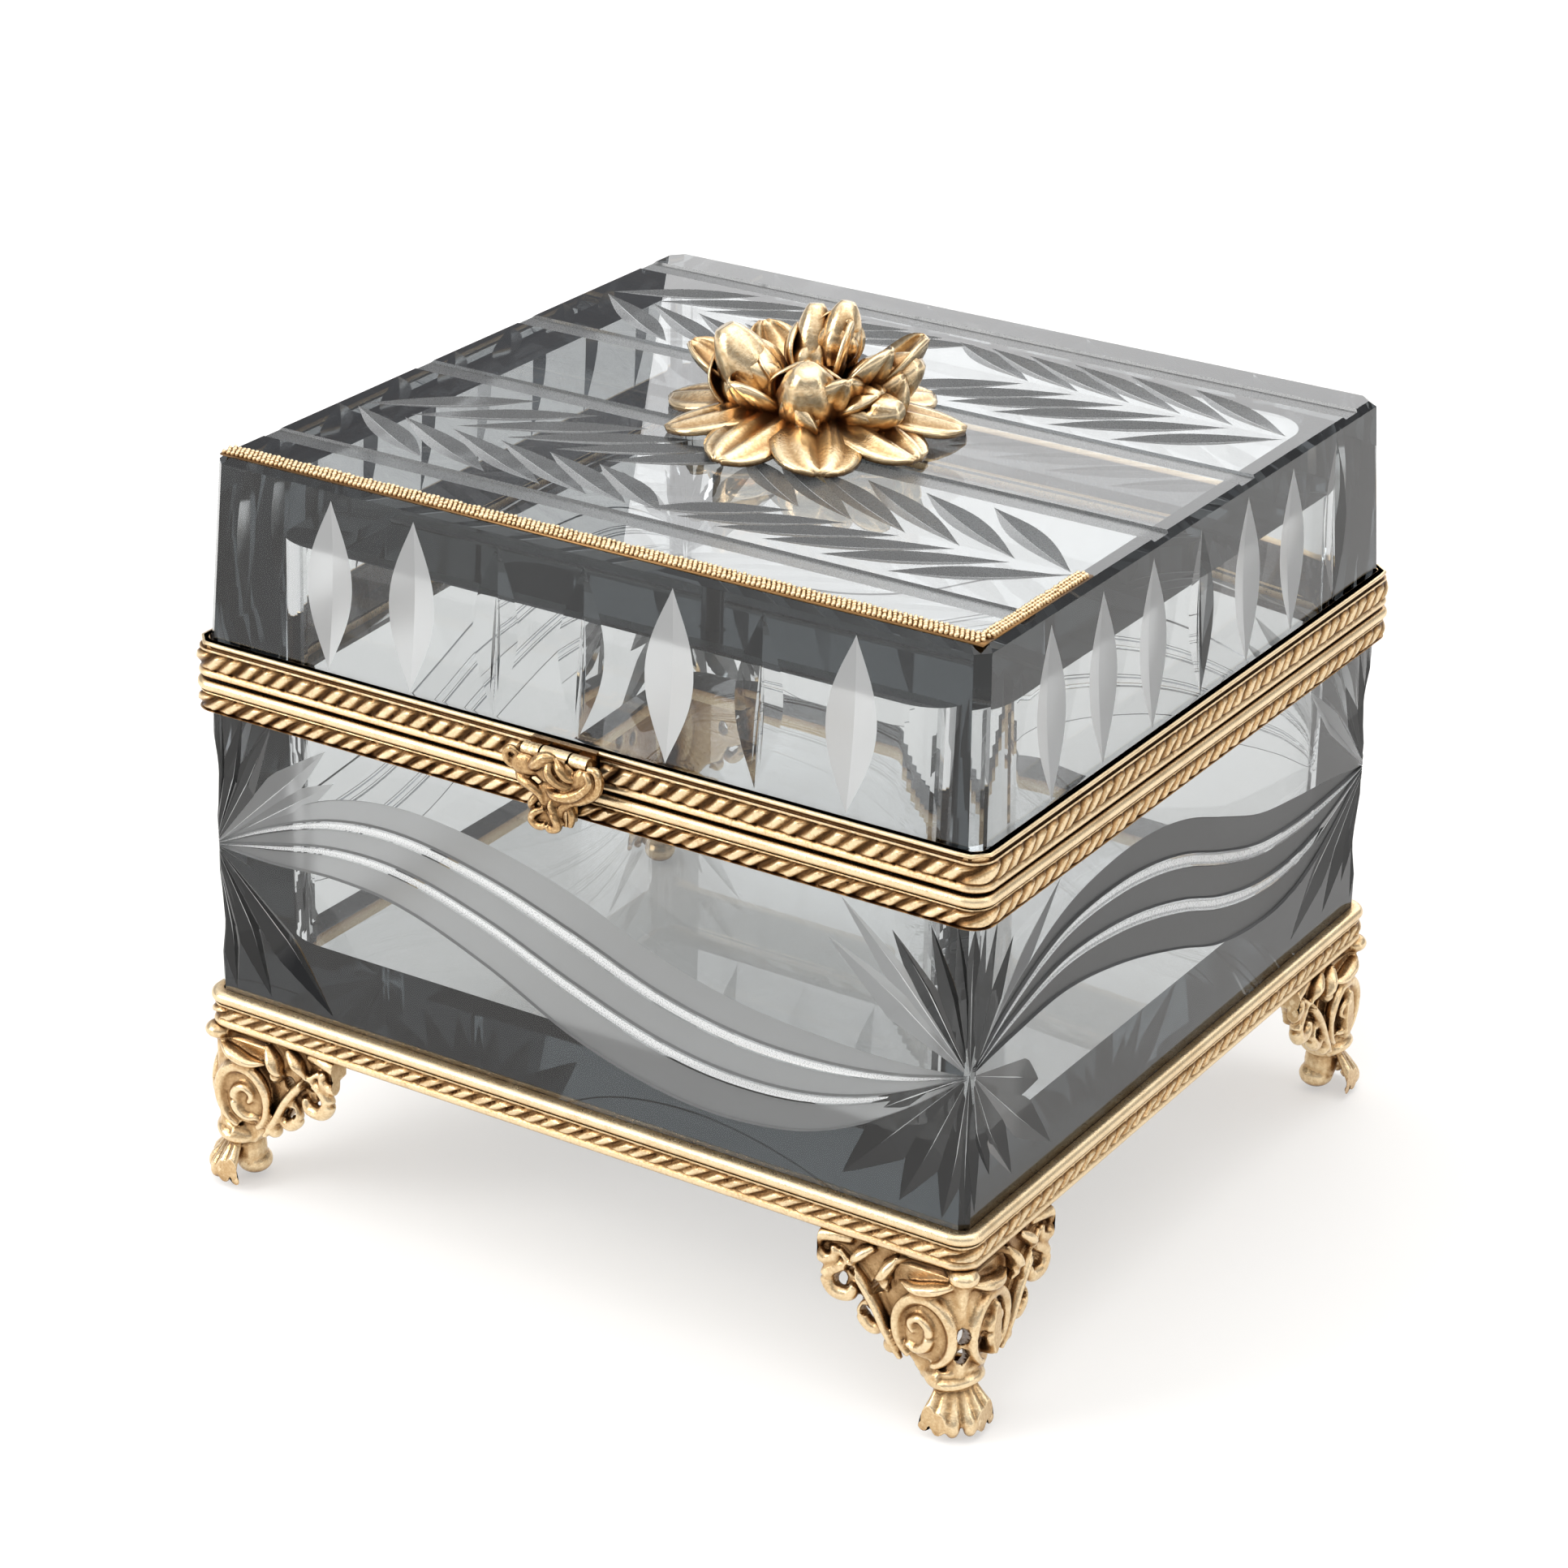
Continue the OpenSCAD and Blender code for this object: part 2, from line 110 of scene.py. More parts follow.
def bake_modifiers(piece):
    graph = bpy.context.evaluated_depsgraph_get()
    made = bpy.data.meshes.new_from_object(piece.evaluated_get(graph))
    old = piece.data
    piece.modifiers.clear()
    piece.data = made
    made.name = piece.name
    if old.users == 0:
        bpy.data.meshes.remove(old)
    return piece


def join_meshes(name, parts):
    """One mesh from a list of (verts, faces)."""
    verts, faces = [], []
    for part_verts, part_faces in parts:
        start = len(verts)
        verts.extend(part_verts)
        faces.extend([[start + i for i in face] for face in part_faces])
    return add_object(name, verts, faces)


def loft(rings, closed=False, caps=True):
    """Quads between equal rings of points. closed joins the last ring to the first."""
    count = len(rings[0])
    verts = [p for ring in rings for p in ring]
    faces = []
    steps = len(rings) if closed else len(rings) - 1
    for i in range(steps):
        a, b = i * count, ((i + 1) % len(rings)) * count
        for k in range(count):
            m = (k + 1) % count
            faces.append([a + k, a + m, b + m, b + k])
    if caps and not closed:
        faces.append(list(range(count - 1, -1, -1)))
        last = (len(rings) - 1) * count
        faces.append([last + k for k in range(count)])
    return facing_out(verts, faces)


def facing_out(verts, faces):
    """Turns the faces of a closed shape so that they face outward."""
    volume = 0.0
    for face in faces:
        first = np.array(verts[face[0]])
        for i in range(1, len(face) - 1):
            volume += float(np.dot(first, np.cross(verts[face[i]], verts[face[i + 1]])))
    if volume < 0:
        faces = [face[::-1] for face in faces]
    return verts, faces


def round_angles(count):
    return [2 * math.pi * k / count for k in range(count)]


def prism(plan, z_low, z_high):
    return loft([[(x, y, z_low) for x, y in plan], [(x, y, z_high) for x, y in plan]])


def rounded_plan(half_x, half_y, r, steps):
    points = []
    for sx, sy, start in ((1, 1, 0), (-1, 1, 90), (-1, -1, 180), (1, -1, 270)):
        for i in range(steps + 1):
            a = math.radians(start + 90 * i / steps)
            points.append((sx * (half_x - r) + r * math.cos(a), sy * (half_y - r) + r * math.sin(a)))
    return points


def chamfered_plan(half_x, half_y, cut):
    in_x, in_y = half_x - cut, half_y - cut
    return [(half_x, in_y), (in_x, half_y), (-in_x, half_y), (-half_x, in_y),
            (-half_x, -in_y), (-in_x, -half_y), (in_x, -half_y), (half_x, -in_y)]


def curve_points(control, steps):
    """A smooth line through control points, evenly stepped between each pair."""
    pts = [np.array(p, float) for p in control]
    pts = [2 * pts[0] - pts[1]] + pts + [2 * pts[-1] - pts[-2]]
    out = []
    for i in range(1, len(pts) - 2):
        p0, p1, p2, p3 = pts[i - 1:i + 3]
        for k in range(steps):
            t = k / steps
            out.append(0.5 * (2 * p1 + (p2 - p0) * t + (2 * p0 - 5 * p1 + 4 * p2 - p3) * t ** 2
                              + (3 * p1 - p0 - 3 * p2 + p3) * t ** 3))
    out.append(pts[-2])
    return out


def tube(control, radii, sides=10, steps=6, flat=1.0, up=(0, 0, 1)):
    """A round-ended tube through control points, with a radius at each. flat squeezes it along up."""
    line = curve_points(control, steps)
    radius = [float(r[0]) for r in curve_points([(r,) for r in radii], steps)]
    up = np.array(up, float)
    rings = []
    for i, p in enumerate(line):
        along = line[min(i + 1, len(line) - 1)] - line[max(i - 1, 0)]
        along = along / (np.linalg.norm(along) + 1e-12)
        side = np.cross(along, up)
        if np.linalg.norm(side) < 1e-6:
            side = np.cross(along, (1, 0, 0.01))
        side = side / np.linalg.norm(side)
        top = np.cross(side, along)
        r = max(radius[i], 1e-5)
        rings.append([tuple(p + r * (math.cos(a) * side + flat * math.sin(a) * top))
                      for a in round_angles(sides)])
    return loft(rings)


def ellipsoid(centre, radii, turn=None, rows=10, sides=14):
    turn = turn or Matrix.Identity(3)
    rings = []
    for i in range(1, rows):
        a = math.pi * i / rows
        rings.append([tuple(Vector(centre) + turn @ Vector((radii[0] * math.sin(a) * math.cos(b),
                                                            radii[1] * math.sin(a) * math.sin(b),
                                                            radii[2] * math.cos(a))))
                      for b in round_angles(sides)])
    return loft(rings)


def fuse(piece, voxel):
    """Melts overlapping parts into one cast surface."""
    remesh = piece.modifiers.new("remesh", "REMESH")
    remesh.mode = "VOXEL"
    remesh.voxel_size = voxel
    bake_modifiers(piece)


def soften(piece, steps):
    """Takes the edge off a cast surface."""
    smooth = piece.modifiers.new("soften", "SMOOTH")
    smooth.iterations = steps
    smooth.factor = 0.5
    bake_modifiers(piece)
    piece.data.shade_smooth()


def hold_inside(piece, lo, hi):
    """Clips a cast piece to a box, which leaves flat faces where it touches its neighbours."""
    places = np.empty(len(piece.data.vertices) * 3, np.float32)
    piece.data.vertices.foreach_get("co", places)
    places = np.clip(places.reshape(-1, 3), np.array(lo, np.float32), np.array(hi, np.float32))
    piece.data.vertices.foreach_set("co", places.ravel())
    piece.data.update()


def mount(piece, node, body, material=None):
    """Puts a made piece in the place of a CAD node, on its body. Crystal comes with its material."""
    if material is not None:
        piece.data.materials.append(material)
    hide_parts(node)
    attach(piece, body)


# ---------------------------------------------------------------- materials

class Tree:
    """A node tree, with short ways to add the nodes that the looks are made of."""

    def __init__(self, tree):
        self.tree = tree
        tree.nodes.clear()

    def feed(self, socket, value):
        """Links an input to another node's output, or gives it a fixed value."""
        if isinstance(value, bpy.types.NodeSocket):
            self.tree.links.new(value, socket)
        else:
            socket.default_value = value

    def add(self, kind, inputs=None, **settings):
        node = self.tree.nodes.new("ShaderNode" + kind)
        for name, value in settings.items():
            setattr(node, name, value)
        for key, value in (inputs or {}).items():
            self.feed(node.inputs[key], value)
        return node

    def ramp(self, value, stops):
        node = self.add("ValToRGB", {"Fac": value})
        elements = node.color_ramp.elements
        while len(elements) < len(stops):
            elements.new(0.5)
        for element, (position, colour) in zip(elements, stops):
            element.position = position
            element.color = (*colour, 1)
        return node.outputs["Color"]

    def spread(self, value, low, high, start=0.0, end=1.0):
        """Carries the range start to end over to the range low to high."""
        return self.add("MapRange", {"Value": value, "From Min": start, "From Max": end,
                                     "To Min": low, "To Max": high}).outputs["Result"]

    def multiply(self, first, second):
        return self.add("Math", {0: first, 1: second}, operation="MULTIPLY", use_clamp=True).outputs[0]


class Look(Tree):
    """A material's tree, with the one shader that it dresses."""

    def __init__(self, name):
        self.material = bpy.data.materials.new(name)
        self.material.use_nodes = True
        super().__init__(self.material.node_tree)
        self.shader = self.add("BsdfPrincipled")
        self.output = self.add("OutputMaterial", {"Surface": self.shader.outputs[0]})
        self.place = self.add("TexCoord").outputs["Object"]

    def dress(self, inputs):
        for name, value in inputs.items():
            self.feed(self.shader.inputs[name], value)

    def noise(self, scale, detail, roughness=0.55):
        return self.add("TexNoise", {"Vector": self.place, "Scale": scale, "Detail": detail,
                                     "Roughness": roughness}).outputs["Fac"]

    def attribute(self, name):
        return self.add("Attribute", attribute_name=name).outputs["Fac"]

    def bump(self, height, strength, distance):
        return self.add("Bump", {"Height": height, "Strength": strength,
                                 "Distance": distance}).outputs["Normal"]


# Gilt tones from dark to bright: the darkest goes in hollows and creases as painted shade together with
# settled grime, the brightest on open and raised metal
GILT_BROWN = (0.055, 0.026, 0.010)
GILT_WARM = (0.28, 0.150, 0.060)
GILT_PALE = (0.58, 0.385, 0.190)
GILT_BRIGHT = (0.86, 0.68, 0.43)
GILT_UMBER = (0.24, 0.125, 0.048)


def gilt_material(name, depth, grime, grain, rough=(0.16, 0.42), wear_and_shade=None, shade_and_dirt=GILT_BROWN,
                  stops=(0.15, 0.42, 0.68, 0.95), metal=1.0):
    """Antique gilt whose colour holds painted light: it turns brown where the occlusion test finds metal
    close by, which is painted shade in hollows and creases together with settled grime, and lighter where it
    stands proud or convex, which is painted highlight together with burnishing. depth is how far, in metres,
    the occlusion test looks for neighbouring metal. The argument after rough names what else tells high from
    low: the attribute "proud", or
    "edges" for how convex a cast surface is. The argument after that is the darkest tone, used for the
    painted shade."""
    look = Look(name)
    # Ambient occlusion darkens the colour toward the darkest tone where metal is close by: painted shade in
    # hollows and creases, together with settled grime
    occlusion_shade = look.add("AmbientOcclusion", {"Distance": depth}, samples=4)
    broad = look.noise(260.0, 4.0)
    fine = look.noise(grain, 5.0, 0.65)
    share = look.multiply(occlusion_shade.outputs["AO"], look.spread(broad, 0.74, 1.2))
    share = look.multiply(share, look.spread(fine, 1 - grime, 1 + grime * 0.6))
    # Low "proud" values and concave cast surfaces darken the colour further, and high, convex ones lighten
    # it: painted shade and highlight, together with burnishing
    if wear_and_shade == "proud":
        share = look.multiply(share, look.spread(look.attribute("proud"), 0.12, 1.12))
    elif wear_and_shade == "edges":
        convex = look.add("NewGeometry").outputs["Pointiness"]
        share = look.multiply(share, look.spread(convex, 0.30, 1.10, 0.42, 0.54))
    tones = (shade_and_dirt, GILT_WARM, GILT_PALE, GILT_BRIGHT)
    look.dress({
        "Base Color": look.ramp(share, list(zip(stops, tones))),
        "Metallic": metal,
        "Roughness": look.spread(fine, rough[1], rough[0]),
        "Normal": look.bump(fine, 0.35, 0.12 * MM),
    })
    return look.material


def crystal_material():
    """Lead crystal: thin walls stay clear and thick slabs turn slate. Three face attributes lead its look:
    tone for the colour, matt for the roughness and clear for how much light gets through."""
    look = Look("crystal")
    cloud = look.noise(90.0, 4.0)
    grain = look.noise(6200.0, 2.0)
    # Face tone holds painted shade on the right side's ribbons and the star rays, and painted highlight on
    # the whitened lines
    tone = look.multiply(look.attribute("tone"), look.spread(cloud, 0.95, 1.0))
    look.dress({
        "Base Color": look.ramp(tone, [(0.0, (0.0, 0.0, 0.0)), (1.0, (0.99, 1.0, 1.0))]),
        "Roughness": look.multiply(look.attribute("matt"), look.spread(grain, 0.84, 1.16)),
        "Transmission Weight": look.attribute("clear"),
        "IOR": 1.52,
    })
    volume = look.add("VolumeAbsorption", {"Color": (0.50, 0.52, 0.53, 1), "Density": 66.0})
    look.feed(look.output.inputs["Volume"], volume.outputs[0])
    return look.material


GILT = gilt_material("gilt_plain", 1.2 * MM, 0.22, 2600.0)
GILT_RELIEF = gilt_material("gilt_relief", 1.2 * MM, 0.55, 3000.0, (0.2, 0.46), "proud")
GILT_CAST = gilt_material("gilt_cast", 2.0 * MM, 0.40, 2400.0, (0.12, 0.36), "edges", metal=0.9)
GILT_CLASP = gilt_material("gilt_clasp", 4.0 * MM, 0.5, 2600.0, (0.12, 0.36), "edges", GILT_BROWN,
                           (0.30, 0.60, 0.86, 1.0))
GILT_FLOWER = gilt_material("gilt_flower", 2.2 * MM, 0.36, 1900.0, (0.04, 0.22), "edges", GILT_UMBER,
                            (0.22, 0.50, 0.74, 0.95), metal=0.93)
BRAID = gilt_material("gold_braid", 0.5 * MM, 0.3, 5200.0, (0.2, 0.4), "proud", GILT_UMBER,
                      (0.02, 0.16, 0.42, 0.8))
PIN = gilt_material("pin_brass", 1.0 * MM, 0.4, 3000.0, (0.25, 0.5))
CRYSTAL = crystal_material()

# Looks of the crystal's surfaces, by mark: tone, matt, clear
LOOKS = {
    CLEAR: (0.985, 0.0, 1.0),
    FROST: (0.41, 0.36, 0.72),
    FACET: (0.90, 0.0, 1.0),
    # Polished lines, whitened as painted highlight
    LINE: (0.82, 0.28, 0.50),
    PALE: (0.66, 0.36, 0.62),
    THIN: (0.94, 0.12, 0.97),
    SHEER: (0.33, 0.28, 0.86),
    # The right side's ribbons, tinted near black: painted shade, as that side is turned from the light
    SHADED_RIGHT: (0.012, 0.36, 0.86),
    # Star rays, tinted near black: painted shade
    RAY: (0.010, 0.05, 0.97),
    # Lines down the rays' valleys, whitened: painted highlight
    GLINT: (0.97, 0.20, 0.30),
}
MARKS = [bpy.data.materials.new("mark_%d" % kind) for kind in LOOKS]


# ---------------------------------------------------------------- crystal

class Face:
    """A flat side that cuts are drawn on: across and up lie in it and out is its normal."""

    def __init__(self, origin, across, up, out):
        self.origin = Vector(origin)
        self.across = Vector(across)
        self.up = Vector(up)
        self.out = Vector(out)

    def at(self, u, v, n):
        return tuple(self.origin + self.across * u + self.up * v + self.out * n)


def side_faces(half_x, half_y, z):
    """Front, right, back and left, with across to the right as each is looked at."""
    return {
        "front": Face((0, -half_y, z), (1, 0, 0), (0, 0, 1), (0, -1, 0)),
        "right": Face((half_x, 0, z), (0, 1, 0), (0, 0, 1), (1, 0, 0)),
        "back": Face((0, half_y, z), (-1, 0, 0), (0, 0, 1), (0, 1, 0)),
        "left": Face((-half_x, 0, z), (0, -1, 0), (0, 0, 1), (-1, 0, 0)),
    }


def groove(face, line, width, depth, kind, bottom=0.0, above=1.2 * MM):
    """Cutter for a groove along a line of (u, v). width and depth are functions of the share along it.
    bottom is the share of the width that is flat at the bottom: 0 makes a mitre cut."""
    count = len(line)
    rings = []
    for i, p in enumerate(line):
        t = i / (count - 1)
        ahead = line[min(i + 1, count - 1)]
        behind = line[max(i - 1, 0)]
        du, dv = ahead[0] - behind[0], ahead[1] - behind[1]
        length = math.hypot(du, dv)
        su, sv = -dv / length, du / length
        w = max(width(t), 0.02 * MM) / 2
        d = max(depth(t), 0.01 * MM)
        b = w * bottom
        section = [(w, above), (w, 0.0), (b, -d), (-b, -d), (-w, 0.0), (-w, above)]
        if bottom == 0.0:
            section = [(w, above), (w, 0.0), (0.0, -d), (-w, 0.0), (-w, above)]
        rings.append([face.at(p[0] + su * s, p[1] + sv * s, n) for s, n in section])
    verts, faces = loft(rings)
    return cutter_from(verts, faces, kind)


def straight(start, end, steps):
    return [(start[0] + (end[0] - start[0]) * i / steps, start[1] + (end[1] - start[1]) * i / steps)
            for i in range(steps + 1)]


def mitre_cut(face, start, end, width, depth, kind, swell, steps):
    """A straight mitre cut whose width and depth follow swell along its length."""
    line = straight(start, end, steps)
    return groove(face, line, lambda t: width * swell(t), lambda t: depth * swell(t), kind)


def leaf_cut(face, start, end, width, depth, kind, peak=0.5, steps=16):
    """A pointed mitre cut, widest and deepest at the share peak of its length."""
    def swell(t):
        s = t / peak if t < peak else (1 - t) / (1 - peak)
        return math.sin(0.5 * math.pi * s) ** 1.1

    return mitre_cut(face, start, end, width, depth, kind, swell, steps)


def kite_cut(face, start, end, width, depth, kind, peak):
    """A ray that widens evenly to its shoulder and then draws in to a sharp tip."""
    def swell(t):
        return t / peak if t < peak else ((1 - t) / (1 - peak)) ** 0.9

    return mitre_cut(face, start, end, width, depth, kind, swell, 14)


def carve(piece, cutters):
    for cutter in cutters:
        cut = piece.modifiers.new("cut", "BOOLEAN")
        cut.operation = "DIFFERENCE"
        cut.solver = "MANIFOLD"
        cut.object = cutter
    bake_modifiers(piece)
    for cutter in cutters:
        drop(cutter)
    return piece


def dress_crystal(piece):
    """Turns the marks that the cutters left into face attributes of the crystal's one material."""
    mesh = piece.data
    kinds = np.empty(len(mesh.polygons), np.int32)
    mesh.polygons.foreach_get("material_index", kinds)
    for i, name in enumerate(("tone", "matt", "clear")):
        layer = mesh.attributes.new(name, "FLOAT", "FACE")
        layer.data.foreach_set("value", np.array([LOOKS[kind][i] for kind in kinds], np.float32))
    mesh.materials.clear()
    mesh.materials.append(CRYSTAL)
    mesh.polygons.foreach_set("material_index", np.zeros(len(kinds), np.int32))
    mesh.shade_smooth()
    mesh.set_sharp_from_angle(angle=math.radians(4.5))


def crystal_block(name, verts, faces):
    piece = cutter_from(verts, faces, CLEAR)
    piece.name = name
    return piece


def cutter_from(verts, faces, kind=CLEAR):
    """A cutter leaves its own kind of surface on the crystal it cuts."""
    cutter = add_object("cutter", verts, faces, kind)
    for material in MARKS:
        cutter.data.materials.append(material)
    return cutter


def smooth_line(points):
    """A function of u through (u, v) points, without overshoot."""
    us = [p[0] for p in points]
    vs = [p[1] for p in points]
    chords = [(vs[i + 1] - vs[i]) / (us[i + 1] - us[i]) for i in range(len(us) - 1)]
    slopes = [chords[0]] + [0.5 * (a + b) for a, b in zip(chords, chords[1:])] + [chords[-1]]

    def at(u):
        i = max(0, min(len(us) - 2, sum(1 for x in us if x <= u) - 1))
        h = us[i + 1] - us[i]
        t = (u - us[i]) / h
        return ((2 * t ** 3 - 3 * t ** 2 + 1) * vs[i] + (t ** 3 - 2 * t ** 2 + t) * h * slopes[i]
                + (3 * t ** 2 - 2 * t ** 3) * vs[i + 1] + (t ** 3 - t ** 2) * h * slopes[i + 1])

    return at


# Upper and lower edge of the ribbons, in mm from the middle of the side and from the base band
WIDE_RIBBON = (
    ((-54.9, 20.3), (-46, 26.6), (-36, 31.2), (-26, 32.8), (-13, 31.6), (0, 28.3), (12, 23.6), (23, 20.8),
     (35, 19.6), (45, 19.4), (54.9, 20.2)),
    ((-54.9, 20.2), (-46, 19.9), (-36, 20.4), (-26, 19.4), (-13, 15.0), (0, 9.0), (12, 5.7), (22, 4.9),
     (34, 6.8), (45, 12.4), (54.9, 20.1)),
)
DEEP_RIBBON = (
    ((-51.9, 20.6), (-43, 27.4), (-32, 32.8), (-19, 34.8), (-8, 34.3), (0, 32.6), (10, 29.0), (20, 25.6),
     (30, 23.9), (40, 22.6), (51.9, 20.6)),
    ((-51.9, 20.5), (-42, 21.4), (-30, 21.9), (-16, 19.6), (0, 14.9), (10, 11.3), (20, 9.5), (28, 9.3),
     (36, 10.9), (45, 15.4), (51.9, 20.5)),
)
RIBBON_SHARES = ((0.0, 0.27, FROST), (0.285, 0.355, LINE), (0.37, 0.62, FROST), (0.635, 0.70, LINE),
                 (0.715, 1.0, FROST))


def ribbon_cuts(face, edges, matt=FROST, bright=LINE):
    """Three frosted ribbons and two polished lines that fan out of one star and meet at the next."""
    upper, lower = smooth_line(edges[0]), smooth_line(edges[1])
    start, end = edges[0][0][0], edges[0][-1][0]
    steps = 84
    cutters = []
    for share_a, share_b, kind in RIBBON_SHARES:
        depth = 0.32 if kind == FROST else 0.2
        # The lines between the ribbons take a whitened surface as painted highlight; on the right side the
        # ribbons take a near-black tone as painted shade
        surface = matt if kind == FROST else bright
        rings = []
        for i in range(steps + 1):
            u = start + (end - start) * i / steps
            top, bottom = upper(u), lower(u)
            high = top + (bottom - top) * share_a
            low = min(top + (bottom - top) * share_b, high - 0.03)
            lip = min(0.2, 0.3 * (high - low))
            section = [(high, 1.2), (high, 0.0), (high - lip, -depth),
                       (low + lip, -depth), (low, 0.0), (low, 1.2)]
            rings.append([face.at(u * MM, v * MM, n * MM) for v, n in section])
        cutters.append(cutter_from(*loft(rings), surface))
    return cutters


# Rays of a star, in mm: where the tip is from the star, toward the middle of the side and up,
# then width, depth, kind and shoulder. Every ray starts at the star, and those wider than
# VALLEY_FROM have a line down their valley, whitened as painted highlight. Rays of kind RAY are tinted near
# black as painted shade.
VALLEY_FROM = 3.2
RIGHT_STAR_RAYS = (
    (-17.4, 17.9, 3.4, 0.55, FROST, 0.55), (-19.0, 12.4, 4.6, 0.7, FROST, 0.5),
    (-10.6, 15.6, 3.6, 0.66, RAY, 0.55), (-5.6, 17.6, 3.0, 0.72, RAY, 0.5),
    (-2.2, 18.6, 2.4, 0.66, RAY, 0.5), (-16.4, -17.6, 6.4, 0.9, RAY, 0.62),
    (-8.6, -18.8, 5.4, 0.96, RAY, 0.6), (-2.9, -19.4, 4.4, 0.84, RAY, 0.6),
    (-14.6, -9.8, 4.6, 0.54, RAY, 0.6),
)
LEFT_STAR_RAYS = (
    (18.0, 17.2, 4.4, 0.55, FROST, 0.6), (19.2, 13.2, 4.2, 0.6, FROST, 0.62),
    (9.6, 18.4, 4.0, 0.84, RAY, 0.5), (5.2, 18.8, 3.4, 0.9, RAY, 0.5),
    (1.9, 18.8, 2.4, 0.78, RAY, 0.5), (18.0, -19.2, 4.8, 0.9, RAY, 0.6),
    (8.2, -19.2, 4.6, 0.96, RAY, 0.55), (2.6, -19.4, 3.8, 0.84, RAY, 0.6),
)
NARROW_STAR_RAYS = (
    (19.0, 17.4, 3.0, 0.6, FROST, 0.6), (8.2, 14.4, 3.2, 0.66, RAY, 0.58),
    (4.4, 17.8, 2.8, 0.72, RAY, 0.5), (1.8, 18.8, 2.4, 0.72, RAY, 0.5),
    (19.6, -17.6, 5.0, 0.66, RAY, 0.62), (10.2, -17.4, 4.4, 0.84, RAY, 0.6),
    (4.8, -15.0, 3.4, 0.78, RAY, 0.6), (1.6, -18.6, 2.6, 0.72, RAY, 0.6),
    (15.8, -7.4, 5.0, 0.48, RAY, 0.75),
)


def star_cuts(face, corner_u, rays, mirror=1):
    """The rays of one corner star that lie on one side."""
    z = STAR_Z - SHOW_LO
    start = (corner_u, z)
    cutters = []
    for across, up, width, depth, kind, shoulder in rays:
        end = (corner_u + mirror * across * MM, z + up * MM)
        cutters.append(kite_cut(face, start, end, width * MM, depth * MM, kind, shoulder))
        if width > VALLEY_FROM:
            valley = (corner_u + mirror * across * 0.94 * MM, z + up * 0.94 * MM)
            # A whitened line down the valley: painted highlight
            cutters.append(kite_cut(face, start, valley, 0.52 * MM, (depth + 0.16) * MM, GLINT, shoulder))
    return cutters


def corner_ray_cuts(half_x, half_y, cut):
    """Upright rays of a star, cut down the polished corner itself, tinted near black as painted shade, with
    whitened valley lines as painted highlight.
    """
    cutters = []
    for sx, sy in ((1, -1), (1, 1), (-1, 1), (-1, -1)):
        out = Vector((sx, sy, 0)).normalized()
        across = Vector((-sy, sx, 0)).normalized()
        corner = Vector((sx * half_x, sy * half_y, STAR_Z)) - out * (cut / math.sqrt(2))
        face = Face(corner, across, (0, 0, 1), out)
        for reach in (18.4 * MM, -19.2 * MM):
            cutters.append(kite_cut(face, (0, 0), (0, reach), 2.8 * MM, 0.55 * MM, RAY, 0.6))
            cutters.append(kite_cut(face, (0, 0), (0, 0.94 * reach), 0.4 * MM, 0.7 * MM, GLINT, 0.6))
    return cutters


def build_body_crystal():
    half_x, half_y = half_w - GLASS_GAP, half_d - GLASS_GAP
    corner_cut = 1.0 * MM
    plan = chamfered_plan(half_x, half_y, corner_cut)
    piece = crystal_block("cut_body", *prism(plan, body_lo.z + GLASS_GAP, body_hi.z - GLASS_GAP))
    well = rounded_plan(half_w - WALL, half_d - WALL, 6 * MM, 16)
    cutters = [cutter_from(*prism(well, FLOOR_Z, body_hi.z + 1 * MM))]
    for name, face in side_faces(half_x, half_y, SHOW_LO).items():
        # The right side's ribbons take the near-black tone as painted shade, and the far sides the faint
        # cuts
        seen = {"front": (FROST, LINE), "right": (SHADED_RIGHT, LINE)}.get(name, (THIN, THIN))
        if name in ("front", "back"):
            cutters += ribbon_cuts(face, WIDE_RIBBON, *seen)
            cutters += star_cuts(face, -half_x + 0.3 * MM, LEFT_STAR_RAYS)
            cutters += star_cuts(face, half_x - 0.3 * MM, RIGHT_STAR_RAYS)
        else:
            cutters += ribbon_cuts(face, DEEP_RIBBON, *seen)
            cutters += star_cuts(face, -half_y + 0.3 * MM, NARROW_STAR_RAYS)
            cutters += star_cuts(face, half_y - 0.3 * MM, NARROW_STAR_RAYS, -1)
    cutters += corner_ray_cuts(half_x, half_y, corner_cut)
    carve(piece, cutters)
    dress_crystal(piece)
    mount(piece, "body_glass", "base")


LID_CUTS = {
    "front": (FROST, FROST, FACET, FACET, FROST, FACET, FROST),
    "right": (FROST, FROST, FROST, FACET, FROST, FROST, FACET),
    "back": (FROST, FACET, FROST, FACET, FROST, FACET, FROST),
    "left": (FACET, FROST, FROST, FACET, FROST, FROST, FROST),
}


